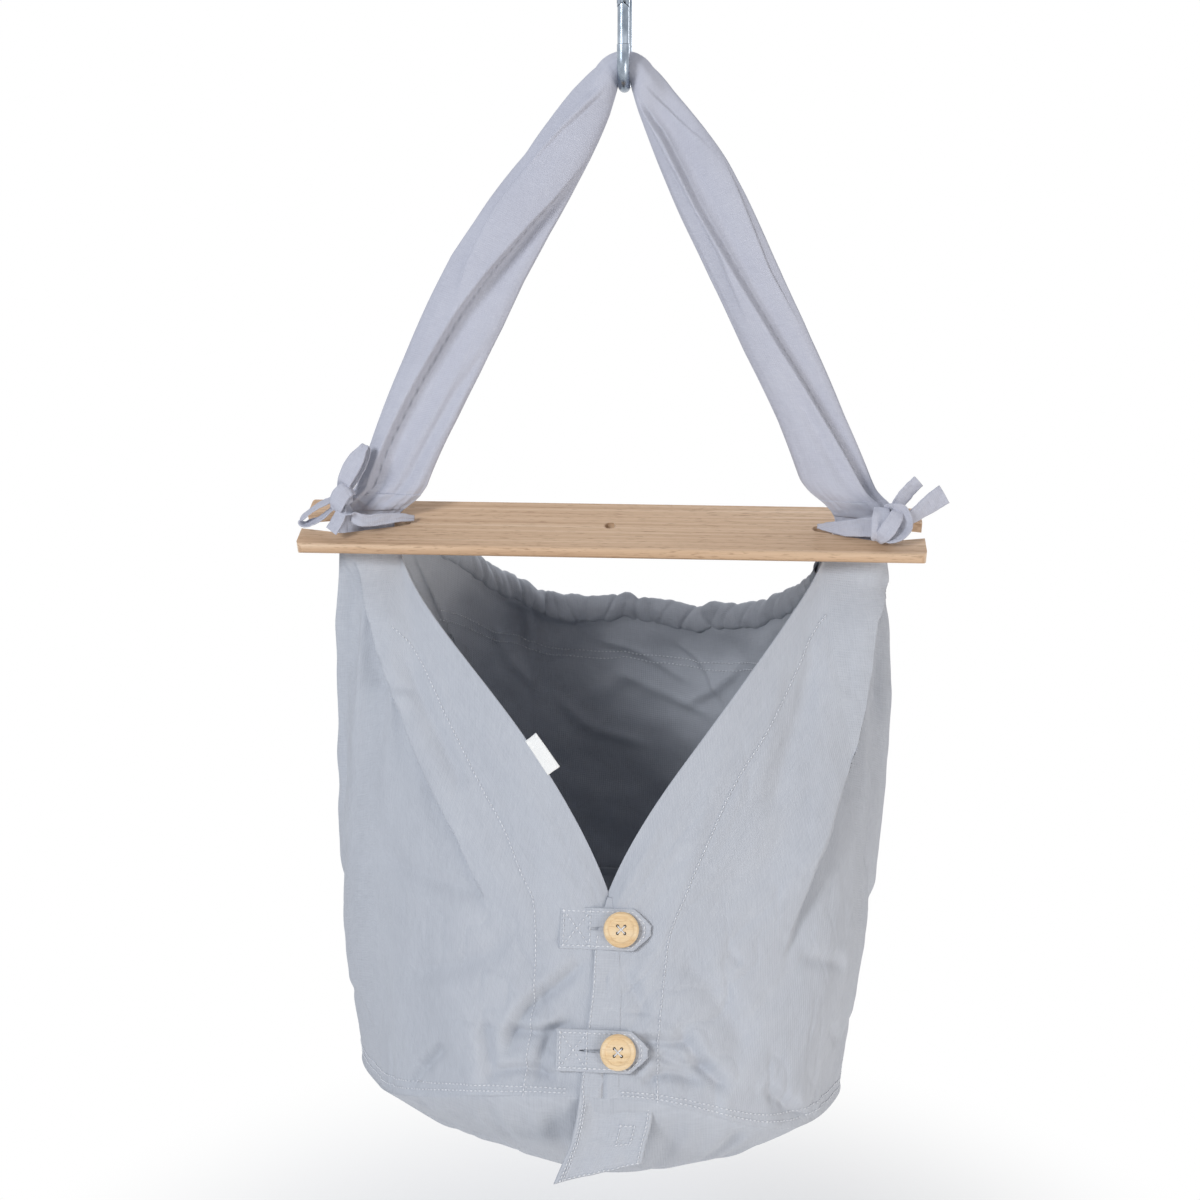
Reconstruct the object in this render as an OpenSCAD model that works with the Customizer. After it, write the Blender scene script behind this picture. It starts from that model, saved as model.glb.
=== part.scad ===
// Hanging baby hammock: a snap hook, a gathered cloth strap, a slotted spreader bar and a cloth bag.
// Millimetres. The origin is the inside top of the hook's upper bend, where the object hangs.
// +X runs along the bar, +Y away from the bag's open front, +Z up.

/* [Hook] */
// Wire diameter of the snap hook
hook_wire = 10; // [8:0.5:11]
// Outside length of the hook
hook_len = 100; // [90:1:120]
// Outside width of the hook
hook_w = 50; // [46:1:58]
// Length of the gate, from its rivet to its nose
gate_len = 33; // [28:1:38]
// Diameter of the gate's rivet
rivet_d = 3; // [2.4:0.1:3.4]
// Free play between the gate and the hook
gate_play = 0.3; // [0.2:0.05:0.5]

/* [Bar] */
// Length of the spreader bar
bar_len = 540; // [480:5:600]
// Depth of the bar, front to back
bar_w = 78; // [70:1:100]
// Thickness of the bar
bar_t = 10; // [8:0.5:14]
// Rounding of the bar's long edges
bar_round = 3; // [1:0.5:3.5]
// How far the bar's middle hangs to the left of the hook
bar_off = 11; // [0:1:14]
// Lean of the bar, its front edge down
bar_lean = 19; // [14:1:21]
// Length of each end slot
slot_len = 95; // [88:1:104]
// Width of the slot at its bulb
slot_bulb = 39; // [37:1:46]
// Width of the slot at its open end
slot_mouth = 25; // [20:1:32]
// Diameter of the hole in the middle
hole_d = 10; // [6:0.5:14]

/* [Strap] */
// Height of the strap's seat in the hook above the bar
strap_drop = 371; // [330:1:420]
// Width of a strap leg
strap_w = 60; // [54:1:64]
// Depth of a strap leg
strap_t = 30; // [26:1:34]
// Clearance between the cloth and the hook's wire
seat_play = 0.35; // [0.3:0.05:0.6]

/* [Bag] */
// Thickness of the doubled cloth
cloth_t = 2.4; // [2:0.1:3]
// Half width of the bag at its bottom seam
bag_half_w = 231; // [215:1:243]
// Depth of the bag at its bottom seam, front to back
bag_depth = 470; // [430:5:520]
// How far the bag's middle stands behind the bar
bag_back = 20; // [0:1:40]
// Height of the front bottom seam below the bar
seam_drop = 424; // [400:1:450]
// Lowest point of the bag below the bar
bag_drop = 609; // [585:1:640]
// Height of the front neckline's point below the bar
apex_drop = 273; // [255:1:290]
// How far the neckline's point stands in front of the bar
apex_out = 150; // [130:1:170]
// Height of the back rim below the bar
rim_drop = 136; // [124:1:148]
// How far the back rim stands behind the bar
rim_out = 222; // [200:1:240]
// Half width of the back rim before it turns up to the right side
rim_half = 133; // [122:1:145]
// The same on the left, where the rim turns up earlier
rim_half_left = 104; // [95:1:114]
// How much lower the bottom seam lies at the left side
seam_sag = 74; // [60:1:88]
// How much lower the bottom seam lies at the right side
seam_sag_right = 58; // [48:1:72]
// How much lower the bottom seam lies at the back
back_sag = 16; // [8:1:24]
// How much lower the right front's seam hangs than the left front's
seam_tilt = 22; // [0:1:26]
// How far the bottom seam's right corner draws in
corner_right = 20; // [8:1:24]
// How far the bottom seam's left corner draws in
corner_left = 8; // [2:1:12]
// How far the closing line stands to the right of the bar's middle
front_shift = 9; // [0:1:12]
// How far the bag's bottom hangs to the left
bag_shift = 8; // [0:1:12]
// Bulge of the bag's sides
swell = 9; // [4:1:13]
// Depth of the pleats that fan out below the bar
pleat = 8; // [4:0.5:9]
// Depth of the long drag fold on each front
drag = 15; // [8:1:18]
// Depth of the gathers below the back rim
gather = 3.2; // [1:0.2:4]

/* [Fastening] */
// Diameter of the buttons
button_d = 29; // [24:0.5:32]
// Thickness of the buttons
button_t = 5; // [4:0.5:6]
// Distance between the two buttons
button_pitch = 98; // [92:1:104]
// Length of a button tab
tab_len = 75; // [70:1:80]
// Width of a button tab
tab_w = 34; // [33:1:38]
// Length of the sewn-in tag
tag_len = 35; // [25:1:45]
// Width of the sewn-in tag
tag_w = 11; // [8:1:16]
// Width of the tie ribbons
tie_w = 18; // [14:0.5:20]

/* [Hidden] */
$fn = 48;
eps = 0.01;

wire_r = hook_wire / 2;
bend_r = hook_w / 2 - wire_r;
top_c = -(bend_r - wire_r);
bot_c = top_c - (hook_len - hook_w);
seat_z = bot_c - bend_r;
bar_z = seat_z - strap_drop;
pivot_z = top_c - 5;

cloth = [0.71, 0.74, 0.78];
strap_col = [0.72, 0.74, 0.80];
wood = [0.80, 0.66, 0.50];
steel = [0.78, 0.80, 0.82];

function lerp(a, b, t) = a + (b - a) * t;
function clamp(x) = min(1, max(0, x));
function smooth(x) = let (c = clamp(x)) c * c * (3 - 2 * c);
function bez(p, t) = let (s = 1 - t)
    p[0] * s * s * s + p[1] * 3 * s * s * t + p[2] * 3 * s * t * t + p[3] * t * t * t;
function flat(l) = [for (a = l) for (b = a) b];

// Slot in the bar, measured along the bar from its middle.
slot_in = bar_len / 2 - slot_len;
slot_small = 4.5;
slot_small_x = slot_in + slot_small;
slot_big = slot_bulb / 2;
slot_big_x = bar_len / 2 - 36;
slot_sin = (slot_big - slot_small) / (slot_big_x - slot_small_x);
slot_cos = sqrt(1 - slot_sin * slot_sin);

// Neck of cloth inside a slot.
neck_play = 0.6;
neck_in = slot_in + neck_play;
neck_out = slot_big_x + 6;
neck_x = (neck_in + neck_out) / 2;
neck_half = (neck_out - neck_in) / 2;
neck_t = slot_big * 0.79;
neck_z = -(bar_t / 2 + slot_big * sin(bar_lean) + 6);

// Strap legs: a path from the hook's seat to the slot, with a lobed section.
crown_a = 57;
crown_rc = wire_r + seat_play + 11.2;
crown_half = 11.2;
crown_t = bend_r * 0.62;
leg_p = [[crown_rc * sin(crown_a), strap_drop + crown_rc * cos(crown_a)],
    [crown_rc * sin(crown_a) + 140 * cos(crown_a),
        strap_drop + crown_rc * cos(crown_a) - 140 * sin(crown_a)],
    [neck_x - 26, neck_z + 124],
    [neck_x, neck_z]];
function leg_at(s) = bez(leg_p, s);
function leg_ang(s) = (90 - crown_a) * (1 - smooth(s * 1.05));
function leg_neck(s) = smooth((40 - leg_at(s)[1]) / 30);
function leg_w(s) = lerp(lerp(crown_half, strap_w / 2, smooth(s / 0.42)), neck_half, leg_neck(s));
function leg_t(s) = lerp(lerp(crown_t, strap_t / 2, smooth(s / 0.35)), neck_t, leg_neck(s));
function lobe(a, s) = 1 + lerp(0.05, 0.17, smooth(s / 0.4)) * (1 - leg_neck(s)) * cos(5 * a - 500 * s);
function taper(a, s) = lerp(1, 0.12 + 0.88 * (1 + cos(a)) / 2, leg_neck(s));
// The strap's top stands over the hook and its feet over the bar's slots.
function leg_shift(s) = [bar_off * (1 - smooth(s / 0.86)), 0, 0];
// A point on the leg: s along it, a round it, grown outward by more.
function leg_pt(s, a, more) = let (
    c = leg_at(s),
    g = leg_ang(s),
    f = s <= 0 ? crown_lobe(a) : lerp(crown_lobe(a), lobe(a, s), smooth(s / 0.12)),
    r = (leg_w(s) * f + more) * cos(a),
    y = (leg_t(s) * f * taper(a, s) + more) * sin(a))
    [lerp(c[0], neck_x, leg_neck(s)) + r * cos(g), y, c[1] + r * sin(g)];
// The crown's folds lie on its outer side, and its inner side stays smooth over the wire.
function crown_lobe(a) = 1 + 0.05 * (cos(5 * a) - 1) * smooth((cos(a) + 0.2) / 0.6);

// The bag's wall: f is 0 at the front, 90 at the side and 180 at the back; t is 0 at the top.
// Its right half has d = 1 and its left half d = -1.
f_front = 62;
f_back = 112;
neck_a = 133;
function neck_pt(a) = [neck_x + neck_half * cos(a),
    -neck_t * (0.12 + 0.88 * (1 + cos(a)) / 2) * sin(a), neck_z];
function top_front(w) = let (n = neck_pt(neck_a)) bez([[0, -apex_out, -apex_drop],
    [0.22 * n[0], -0.833 * apex_out, -0.604 * apex_drop],
    [0.93 * n[0], -0.2 * apex_out, -0.256 * apex_drop], n], w);
function top_back(w, d) = let (n = neck_pt(-neck_a)) bez([n,
    [(d < 0 ? 0.884 : 0.965) * n[0], 0.497 * rim_out, (d < 0 ? -0.197 : -0.779) * rim_drop],
    [d < 0 ? rim_half_left : rim_half, rim_out, -1.219 * rim_drop], [0, rim_out, -rim_drop]], w);
function top_pt(f, d) = f <= f_front ? top_front(f / f_front)
    : f >= f_back ? top_back((f - f_back) / (180 - f_back), d)
    : neck_pt(neck_a - 2 * neck_a * (f - f_front) / (f_back - f_front));
function spow(v, p) = v < 0 ? -pow(-v, p) : pow(v, p);
function tilt(f, d) = d < 0 ? 0 : seam_tilt * smooth(f / 32) * (1 - smooth((f - 36) / 36));
function corner(d) = d < 0 ? corner_left : corner_right;
function sag(f, d) = (d < 0 ? seam_sag : seam_sag_right) * sin(f) * sin(f) + back_sag / 2 * (1 - cos(f));
function bot_pt(f, d) = [(bag_half_w - corner(d) * sin(f) * sin(f)) * pow(max(0, sin(f)), 0.78),
    bag_back - bag_depth / 2 * spow(cos(f), 0.78), -seam_drop - sag(f, d) - tilt(f, d)];
// The bag hangs a little askew: its front to the right and its bottom to the left.
function lean(p) = [p[0] + lerp(-bag_shift * smooth((-p[2] / bag_drop - 0.25) / 0.5), front_shift,
    smooth((-p[1] / apex_out - 0.13) / 0.6)), p[1], p[2]];
function top_n(f) = let (b = 180 * clamp((f - f_front) / (f_back - f_front))) [sin(b), -cos(b), 0];
function wall_n(f, t) = let (v = lerp(top_n(f), [sin(f), -cos(f), 0], smooth(t * 2)))
    v / max(0.2, norm(v));
function bulge_at(f, t, d) = sin(f) * sin(f)
    * (swell * 4 * t * (1 - t) + corner(d) * t * (1 - smooth((t - 0.7) / 0.3)));
function fan(f, t) = pleat * smooth(t / 0.13) * (1 - smooth((t - 0.13) / 0.7))
    * smooth((f - 48) / 10) * (1 - smooth((f - 116) / 16)) * (cos((f - 87) * 25.2) - 0.6);
// The drag fold runs from the bar's end towards the closing line, and falls off steeply to the side.
function drag_f(t, d) = d < 0 ? 78 - 100 * t : 90 - 72 * t;
function drape(f, t, d) = let (c = drag_f(t, d))
    drag * smooth((t - 0.03) / 0.15) * (1 - smooth((t - 0.25) / 0.45))
    * (f < c ? smooth((f - c) / 22 + 1) : 1 - smooth((f - c) / 6));
function gathers(f, t) = gather * smooth((f - 122) / 14) * smooth(t / 0.1) * (1 - smooth((t - 0.1) / 0.5))
    * cos(f * 21.2);
function skin(t) = lerp(0.66 * cloth_t, cloth_t, smooth(t / 0.15));
// A point of the wall: o is 0 on its outside and -1 on its inside.
function wall(f, t, o, d) = let (p = lerp(top_pt(f, d), bot_pt(f, d), t)
    + (bulge_at(f, t, d) + fan(f, t) + drape(f, t, d) + gathers(f, t) + o * skin(t)) * wall_n(f, t))
    lean([d * p[0], p[1], p[2]]);

// The bottom: q is 1 at the seam and 0 in the middle. Its right side is the shallower one.
function bottom(f, q, o, d) = let (e = bot_pt(f, d) + o * cloth_t * [sin(f), -cos(f), 0],
    k = d < 0 ? 2 : 2 - 0.4 * sin(f))
    lean([d * e[0] * q, bag_back + (e[1] - bag_back) * q,
    -bag_drop + (e[2] - seam_play + bag_drop) * pow(q, k) - o * cloth_t * 1.1 * (1 - pow(q, 8))]);
// Free space between two panels at a seam
seam_play = 0.15;

// Faces of a plate made from two grids of points, each of n by m: the outside first.
function grid_f(n, m, k, flip) = [for (i = [0 : n - 2]) for (j = [0 : m - 2]) let (
    a = k + i * m + j, b = a + 1, c = a + m, d = c + 1)
    for (t = flip ? [[a, b, d], [a, d, c]] : [[a, d, b], [a, c, d]]) t];
function rim_f(n, m) = let (h = n * m, loop = concat(
    [for (j = [0 : m - 2]) j],
    [for (i = [0 : n - 2]) i * m + m - 1],
    [for (j = [m - 1 : -1 : 1]) (n - 1) * m + j],
    [for (i = [n - 1 : -1 : 1]) i * m]), c = len(loop))
    [for (i = [0 : c - 1]) let (a = loop[i], b = loop[(i + 1) % c])
    for (t = [[a, b, b + h], [a, b + h, a + h]]) t];
module plate(out, inn) {
    n = len(out);
    m = len(out[0]);
    polyhedron(concat(flat(out), flat(inn)),
        concat(grid_f(n, m, 0, false), grid_f(n, m, n * m, true), rim_f(n, m)), convexity = 6);
}
function turned(l, d) = d > 0 ? l : [for (i = [len(l) - 1 : -1 : 0]) l[i]];
module panel(fs, ts, d) {
    plate([for (f = turned(fs, d)) [for (t = ts) wall(f, t, 0, d)]],
        [for (f = turned(fs, d)) [for (t = ts) wall(f, t, -1, d)]]);
}
// A solid or hollow loft through rings of points.
function loop_f(n, m, k, flip) = [for (i = [0 : n - 2]) for (j = [0 : m - 1]) let (
    a = k + i * m + j, b = k + i * m + (j + 1) % m, c = a + m, d = b + m)
    for (t = flip ? [[a, d, b], [a, c, d]] : [[a, b, d], [a, d, c]]) t];
module loft(rings) {
    n = len(rings);
    m = len(rings[0]);
    mid = [for (i = [0, n - 1]) [for (k = [0 : 2]) [for (p = rings[i]) p[k]] * [for (p = rings[i]) 1] / m]];
    caps = [for (j = [0 : m - 1]) for (t = [[n * m, (j + 1) % m, j],
        [n * m + 1, (n - 1) * m + j, (n - 1) * m + (j + 1) % m]]) t];
    polyhedron(concat(flat(rings), mid), concat(loop_f(n, m, 0, false), caps), convexity = 6);
}
module sleeve(outer, inner) {
    n = len(outer);
    m = len(outer[0]);
    h = n * m;
    ends = [for (j = [0 : m - 1]) let (k = (j + 1) % m, e = (n - 1) * m)
        for (t = [[j, h + j, h + k], [j, h + k, k],
            [e + j, e + k, h + e + k], [e + j, h + e + k, h + e + j]]) t];
    polyhedron(concat(flat(outer), flat(inner)),
        concat(loop_f(n, m, 0, false), loop_f(n, m, h, true), ends), convexity = 8);
}
// A flat ribbon along a path: across is the direction of its width, face the way it looks.
module ribbon(path, across, face, w, t) {
    loft([for (i = [0 : len(path) - 1]) [
        path[i] - across[i] * w / 2 - face[i] * t / 2, path[i] + across[i] * w / 2 - face[i] * t / 2,
        path[i] + across[i] * w / 2 + face[i] * t / 2, path[i] - across[i] * w / 2 + face[i] * t / 2]]);
}

// Puts what hangs below the hook in its place.
module hung() translate([-bar_off, 0, bar_z]) children();

// Hook
module bend(z, a) {
    translate([0, 0, z]) rotate([90, 0, 90]) rotate([0, 0, a])
        rotate_extrude(angle = 180) translate([bend_r, 0]) circle(d = hook_wire);
}
module pivot(d, x0, x1) {
    translate([x0, -bend_r, pivot_z]) rotate([0, 90, 0]) cylinder(d = d, h = x1 - x0);
}
module hook_body() color(steel) difference() {
    union() {
        bend(top_c, 0);
        bend(bot_c, 180);
        translate([0, bend_r, bot_c]) cylinder(d = hook_wire, h = top_c - bot_c);
        translate([0, -bend_r, bot_c]) cylinder(d = hook_wire, h = pivot_z - gate_len - gate_play - bot_c);
        translate([0, -bend_r, pivot_z]) cylinder(d = hook_wire, h = top_c - pivot_z);
        intersection() {
            translate([0, -bend_r, pivot_z - wire_r]) cylinder(d = hook_wire, h = wire_r);
            pivot(hook_wire, -wire_r, wire_r);
        }
    }
    translate([-fork_gap / 2, -bend_r - wire_r - 1, pivot_z - wire_r - 1])
        cube([fork_gap, hook_wire + 2, wire_r + 7]);
    pivot(rivet_d, -wire_r - 1, wire_r + 1);
    pivot(rivet_d + 2.6, cheek, wire_r + 1);
    pivot(rivet_d + 2.6, -wire_r - 1, -cheek);
}
fork_gap = hook_wire * 0.46;
cheek = wire_r * 0.84;
tongue = fork_gap * 0.5;
module hook_gate() color(steel) difference() {
    union() {
        difference() {
            translate([0, -bend_r, pivot_z - gate_len]) cylinder(d = hook_wire - 0.8, h = gate_len);
            pivot(hook_wire + 2 * gate_play, -wire_r, wire_r);
        }
        pivot(hook_wire * 0.86, -fork_gap / 2 + gate_play, -fork_gap / 2 + gate_play + tongue);
        translate([-fork_gap / 2 + gate_play, -bend_r - wire_r * 0.7, pivot_z - wire_r - 2])
            cube([tongue, wire_r * 1.4, wire_r + 2]);
    }
    pivot(rivet_d + 2 * gate_play, -wire_r, wire_r);
}
module gate_rivet() color(steel) {
    pivot(rivet_d, -cheek, cheek);
    pivot(rivet_d + 2, cheek, wire_r);
    pivot(rivet_d + 2, -wire_r, -cheek);
}
module gate_spring() color([0.6, 0.62, 0.65]) difference() {
    pivot(rivet_d + 3.4, fork_gap / 2 - (fork_gap - tongue - 2 * gate_play), fork_gap / 2);
    pivot(rivet_d, -wire_r, wire_r);
}

// Bar, drawn level and then leaned
module slot() {
    translate([slot_small_x, 0]) circle(r = slot_small);
    translate([slot_big_x, 0]) circle(r = slot_big);
    polygon([[slot_small_x - slot_small * slot_sin, slot_small * slot_cos],
        [slot_big_x - slot_big * slot_sin, slot_big * slot_cos],
        [slot_big_x - slot_big * slot_sin, -slot_big * slot_cos],
        [slot_small_x - slot_small * slot_sin, -slot_small * slot_cos]]);
    polygon([[slot_big_x, slot_big * 0.98], [bar_len / 2 + 1, slot_mouth / 2],
        [bar_len / 2 + 1, -slot_mouth / 2], [slot_big_x, -slot_big * 0.98]]);
}
module bar_section() {
    square([bar_t - 2 * bar_round, bar_w], center = true);
    square([bar_t, bar_w - 2 * bar_round], center = true);
    for (x = [-1, 1], y = [-1, 1])
        translate([x * (bar_t / 2 - bar_round), y * (bar_w / 2 - bar_round)]) circle(r = bar_round);
}
module bar_plan() {
    r = 6;
    square([bar_len - 2 * r, bar_w], center = true);
    square([bar_len, bar_w - 2 * r], center = true);
    for (x = [-1, 1], y = [-1, 1])
        translate([x * (bar_len / 2 - r), y * (bar_w / 2 - r)]) circle(r = r);
}
module spreader_bar() color(wood) hung() rotate([bar_lean, 0, 0]) difference() {
    intersection() {
        translate([-bar_len / 2, 0, 0]) rotate([0, 90, 0]) linear_extrude(bar_len) bar_section();
        translate([0, 0, -bar_t]) linear_extrude(2 * bar_t) bar_plan();
    }
    translate([0, 0, -bar_t]) linear_extrude(2 * bar_t) slot();
    mirror([1, 0, 0]) translate([0, 0, -bar_t]) linear_extrude(2 * bar_t) slot();
    cylinder(d = hole_d, h = 2 * bar_t, center = true);
}

// Strap
leg_n = 30;
tie_s = [for (i = [0 : 2]) lerp(0.874, 0.912, i / 2)];
leg_s = concat([for (i = [0 : 12]) 0.855 * i / 12], tie_s, [0.94, 0.97, 1]);
module strap_crown() color(strap_col) translate([0, 0, seat_z]) rotate([90, -(90 - crown_a), 0])
    rotate_extrude(angle = 180 - 2 * (90 - crown_a), $fn = 72)
    polygon([for (i = [0 : leg_n - 1]) let (a = 360 * i / leg_n)
        [crown_rc + crown_half * crown_lobe(a) * cos(a), -crown_t * crown_lobe(a) * sin(a)]]);
module leg(d) loft([for (s = leg_s) [for (i = [0 : leg_n - 1]) leg_pt(s, -360 * i / leg_n, 0)
    + d * leg_shift(s)]]);
module right_strap() color(strap_col) hung() leg(1);
module left_strap() color(strap_col) hung() mirror([1, 0, 0]) leg(-1);

// Bag
seam_f = seam_play / 2;
front_fs = [for (i = [0 : 12]) (f_front - seam_f) * i / 12];
side_fs = [for (i = [0 : 14]) lerp(f_front + seam_f, f_back - seam_f, i / 14)];
back_fs = [for (i = [0 : 12]) lerp(f_back + seam_f, 180, i / 12)];
half_fs = concat([for (i = [0 : 11]) front_fs[i]], [f_front], [for (i = [1 : 13]) side_fs[i]], [f_back],
    [for (i = [1 : 12]) back_fs[i]]);
wall_ts = [0, 0.05, 0.12, 0.2, 0.3, 0.42, 0.56, 0.7, 0.85, 1];
module front_right_panel() color(cloth) hung() panel(front_fs, wall_ts, 1);
module front_left_panel() color(cloth) hung() panel(front_fs, wall_ts, -1);
module right_side_panel() color(cloth) hung() panel(side_fs, wall_ts, 1);
module left_side_panel() color(cloth) hung() panel(side_fs, wall_ts, -1);
function mirrored(p) = [-p[0], p[1], p[2]];
function back_grid(o) = concat([for (f = back_fs) [for (t = wall_ts) wall(f, t, o, 1)]],
    [for (i = [11 : -1 : 0]) [for (t = wall_ts) wall(back_fs[i], t, o, -1)]]);
module back_panel() color(cloth) hung() plate(back_grid(0), back_grid(-1));
qs = [1, 0.86, 0.7, 0.5, 0.28];
module bottom_panel() color(cloth) hung() {
    n = len(half_fs);
    ring = [for (o = [0, -1]) [for (q = qs) concat([for (f = half_fs) bottom(f, q, o, 1)],
        [for (i = [n - 2 : -1 : 1]) bottom(half_fs[i], q, o, -1)])]];
    m = len(ring[0][0]);
    k = len(qs);
    h = k * m;
    pole = [bottom(0, 0, 0, 1), bottom(0, 0, -1, 1)];
    caps = [for (j = [0 : m - 1]) let (e = (k - 1) * m, a = e + j, b = e + (j + 1) % m)
        for (t = [[2 * h, a, b], [2 * h + 1, h + b, h + a]]) t];
    edge = [for (j = [0 : m - 1]) let (a = j, b = (j + 1) % m)
        for (t = [[a, h + a, h + b], [a, h + b, b]]) t];
    polyhedron(concat(flat(ring[0]), flat(ring[1]), pole),
        concat(loop_f(k, m, 0, false), loop_f(k, m, h, true), caps, edge), convexity = 6);
}

// Back rim: a gathered casing with an elastic in it, standing on the back panel's top edge
rim_h = 24;
rim_thick = 9;
rim_ws = [for (i = [1 : 12]) (back_fs[i] - f_back) / (180 - f_back)];
function rim_k(w) = lerp(0.5, 1, smooth((w - 0.1) / 0.3));
// A ring of the rim: k shares out its height, th is its thickness, bump its gathers, m its sides.
function rim_ring(w, k, th, bump, m, d) = let (p = top_back(w, d),
    u = top_back(w + 0.001, d) - top_back(w - 0.001, d),
    n = [-u[1], u[0], 0] / norm([u[0], u[1]]), h = rim_h * rim_k(w))
    [for (i = [0 : m - 1]) let (a = 360 * i / m) [p[0], p[1], p[2] + h / 2 + 0.1]
    - n * (cloth_t / 2 + th / 2 * rim_k(w) * bump * sin(a)) - [0, 0, h / 2 * k * cos(a)]];
function rim_bump(i) = i % 2 == 0 ? 1 : 0.78;
function rim_half_rings(k, th, wavy, m, d) = [for (i = [0 : 11])
    rim_ring(rim_ws[i], k, th, wavy ? rim_bump(i) : 1, m, d)];
function rim_rings(k, th, wavy, m) = let (left = rim_half_rings(k, th, wavy, m, -1)) concat(
    rim_half_rings(k, th, wavy, m, 1), [for (i = [10 : -1 : 0]) [for (p = left[i]) mirrored(p)]]);
module rim_casing() color(cloth) hung()
    sleeve(rim_rings(1, rim_thick, true, 8), rim_rings(0.74, 4.4, false, 8));
module rim_elastic() color([0.9, 0.9, 0.88]) hung()
    loft(rim_rings(0.6, 2.6, false, 6));

// Front fastening, along the closing line from the neckline's point to the seam
close_a = lean([0, -apex_out, -apex_drop]);
close_b = lean([0, bag_back - bag_depth / 2, -seam_drop]);
close_len = norm(close_b - close_a);
close_lean = atan2(close_a[1] - close_b[1], close_a[2] - close_b[2]);
up_at = 30;
// Lays children on the closing line: x to the right, y down the line, z out of the cloth.
module on_front(d) {
    hung() translate(close_a + (close_b - close_a) * d / close_len)
        rotate([-close_lean, 0, 0]) rotate([90, 0, 0]) mirror([0, 1, 0]) children();
}
close_u = (close_b - close_a) / close_len;
close_n = [0, close_u[2], -close_u[1]];
// How far the wall beside the closing line stands in front of it
ahead = max([for (d = [-1, 1], f = [front_fs[1], front_fs[2]], t = wall_ts)
    let (p = wall(f, t, 0, d) - close_a) p * close_u > 0 ? p * close_n : 0]);
placket_t = 1.6;
placket_lift = 0.6 * ahead + 0.3;
lift = max(placket_lift + placket_t, ahead + 0.5);
tab_t = 2;
button_x = 12;
tab_left = -tab_len + button_x + 24;
flap_drop = 79;
// The right front's edge lies over the left front, and below the seam its end hangs free.
flap_d = concat([6, 40, 80, 120], [for (e = [-1, 1, 22, 42, flap_drop]) close_len + e]);
flap_x = [[-4, 6], [-10, 6], [-10.5, 6], [-14, 6], [-19, 6], [-19, 42], [-22, 40], [-26, 37], [-40, 33]];
flap_up = 19;
function flap_pt(i, j, o) = let (d = flap_d[i] - (i == 8 ? j * flap_up : 0), a = min(d, close_len),
    b = max(0, d - close_len), n = b > 0 ? [0, -1, 0] : close_n)
    close_a + close_u * a + [flap_x[i][j], 0, -b] + n * (placket_lift + o * placket_t);
module placket_flap() color(cloth) hung() plate(
    [for (i = [0 : 8]) [for (j = [0, 1]) flap_pt(i, j, 1)]],
    [for (i = [0 : 8]) [for (j = [0, 1]) flap_pt(i, j, 0)]]);
module tab() {
    difference() {
        union() {
            translate([tab_left, -tab_w / 2]) square([tab_len - 12, tab_w]);
            polygon([[tab_left + tab_len - 12, -tab_w / 2], [tab_left + tab_len, -tab_w / 2 + 10],
                [tab_left + tab_len, tab_w / 2 - 10], [tab_left + tab_len - 12, tab_w / 2]]);
        }
        translate([button_x - 34, -1.6]) square([37, 3.2]);
    }
}
module button_tab(d) color(cloth) on_front(d) translate([0, 0, lift]) linear_extrude(tab_t) tab();
module upper_button_tab() button_tab(up_at);
module lower_button_tab() button_tab(up_at + button_pitch);
button_z = lift + tab_t + 0.8;
hole_r = 1.3;
module button(d) color([0.90, 0.78, 0.58]) on_front(d) translate([button_x, 0, button_z]) difference() {
    rotate_extrude($fn = 64) polygon([[0, 0], [button_d / 2 - 2, 0], [button_d / 2, 1.6],
        [button_d / 2, button_t - 1.2], [button_d / 2 - 1.2, button_t], [button_d / 2 - 3.4, button_t],
        [button_d / 2 - 4.6, button_t - 1], [0, button_t - 1]]);
    for (x = [-3, 3], y = [-3, 3]) translate([x, y, -1]) cylinder(r = hole_r, h = button_t + 2);
}
module upper_button() button(up_at);
module lower_button() button(up_at + button_pitch);
module button_thread(d) color([0.85, 0.85, 0.83]) on_front(d) translate([button_x, 0, 0]) {
    translate([-3.9, -0.8, button_z - 0.7]) cube([7.8, 1.6, 0.7]);
    translate([0, 0, ahead + 0.3]) cylinder(r = 1.1, h = button_z - 0.6 - ahead - 0.3);
    for (x = [-3, 3], y = [-3, 3]) translate([x, y, button_z - 0.7])
        cylinder(r = hole_r - 0.3, h = button_t + 0.3);
    for (x = [-3, 3]) translate([x - 0.9, -3, button_z - 0.7]) cube([1.8, 6, 0.7]);
    for (x = [-3, 3]) translate([x - 0.9, -3.6, button_z + button_t - 1]) cube([1.8, 7.2, 0.8]);
}
module upper_button_thread() button_thread(up_at);
module lower_button_thread() button_thread(up_at + button_pitch);

// A bare cloth tag sewn into the left neckline
tag_at = 0.285;
module label_tag() color([0.95, 0.95, 0.94]) {
    a = lean(mirrored(top_front(tag_at)));
    b = lean(mirrored(top_front(tag_at + 0.1)));
    u = (b - a) / norm(b - a);
    v = [u[2], 0, -u[0]] / norm([u[0], 0, u[2]]);
    n = cross(u, v);
    hung() translate([0, 0, 0.2]) plate(
        [for (i = [0, 1]) [for (j = [0, 1]) a + u * tag_len * i + v * (0.3 + tag_w * j) + n * 0.5]],
        [for (i = [0, 1]) [for (j = [0, 1]) a + u * tag_len * i + v * (0.3 + tag_w * j) - n * 0.5]]);
}

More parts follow.
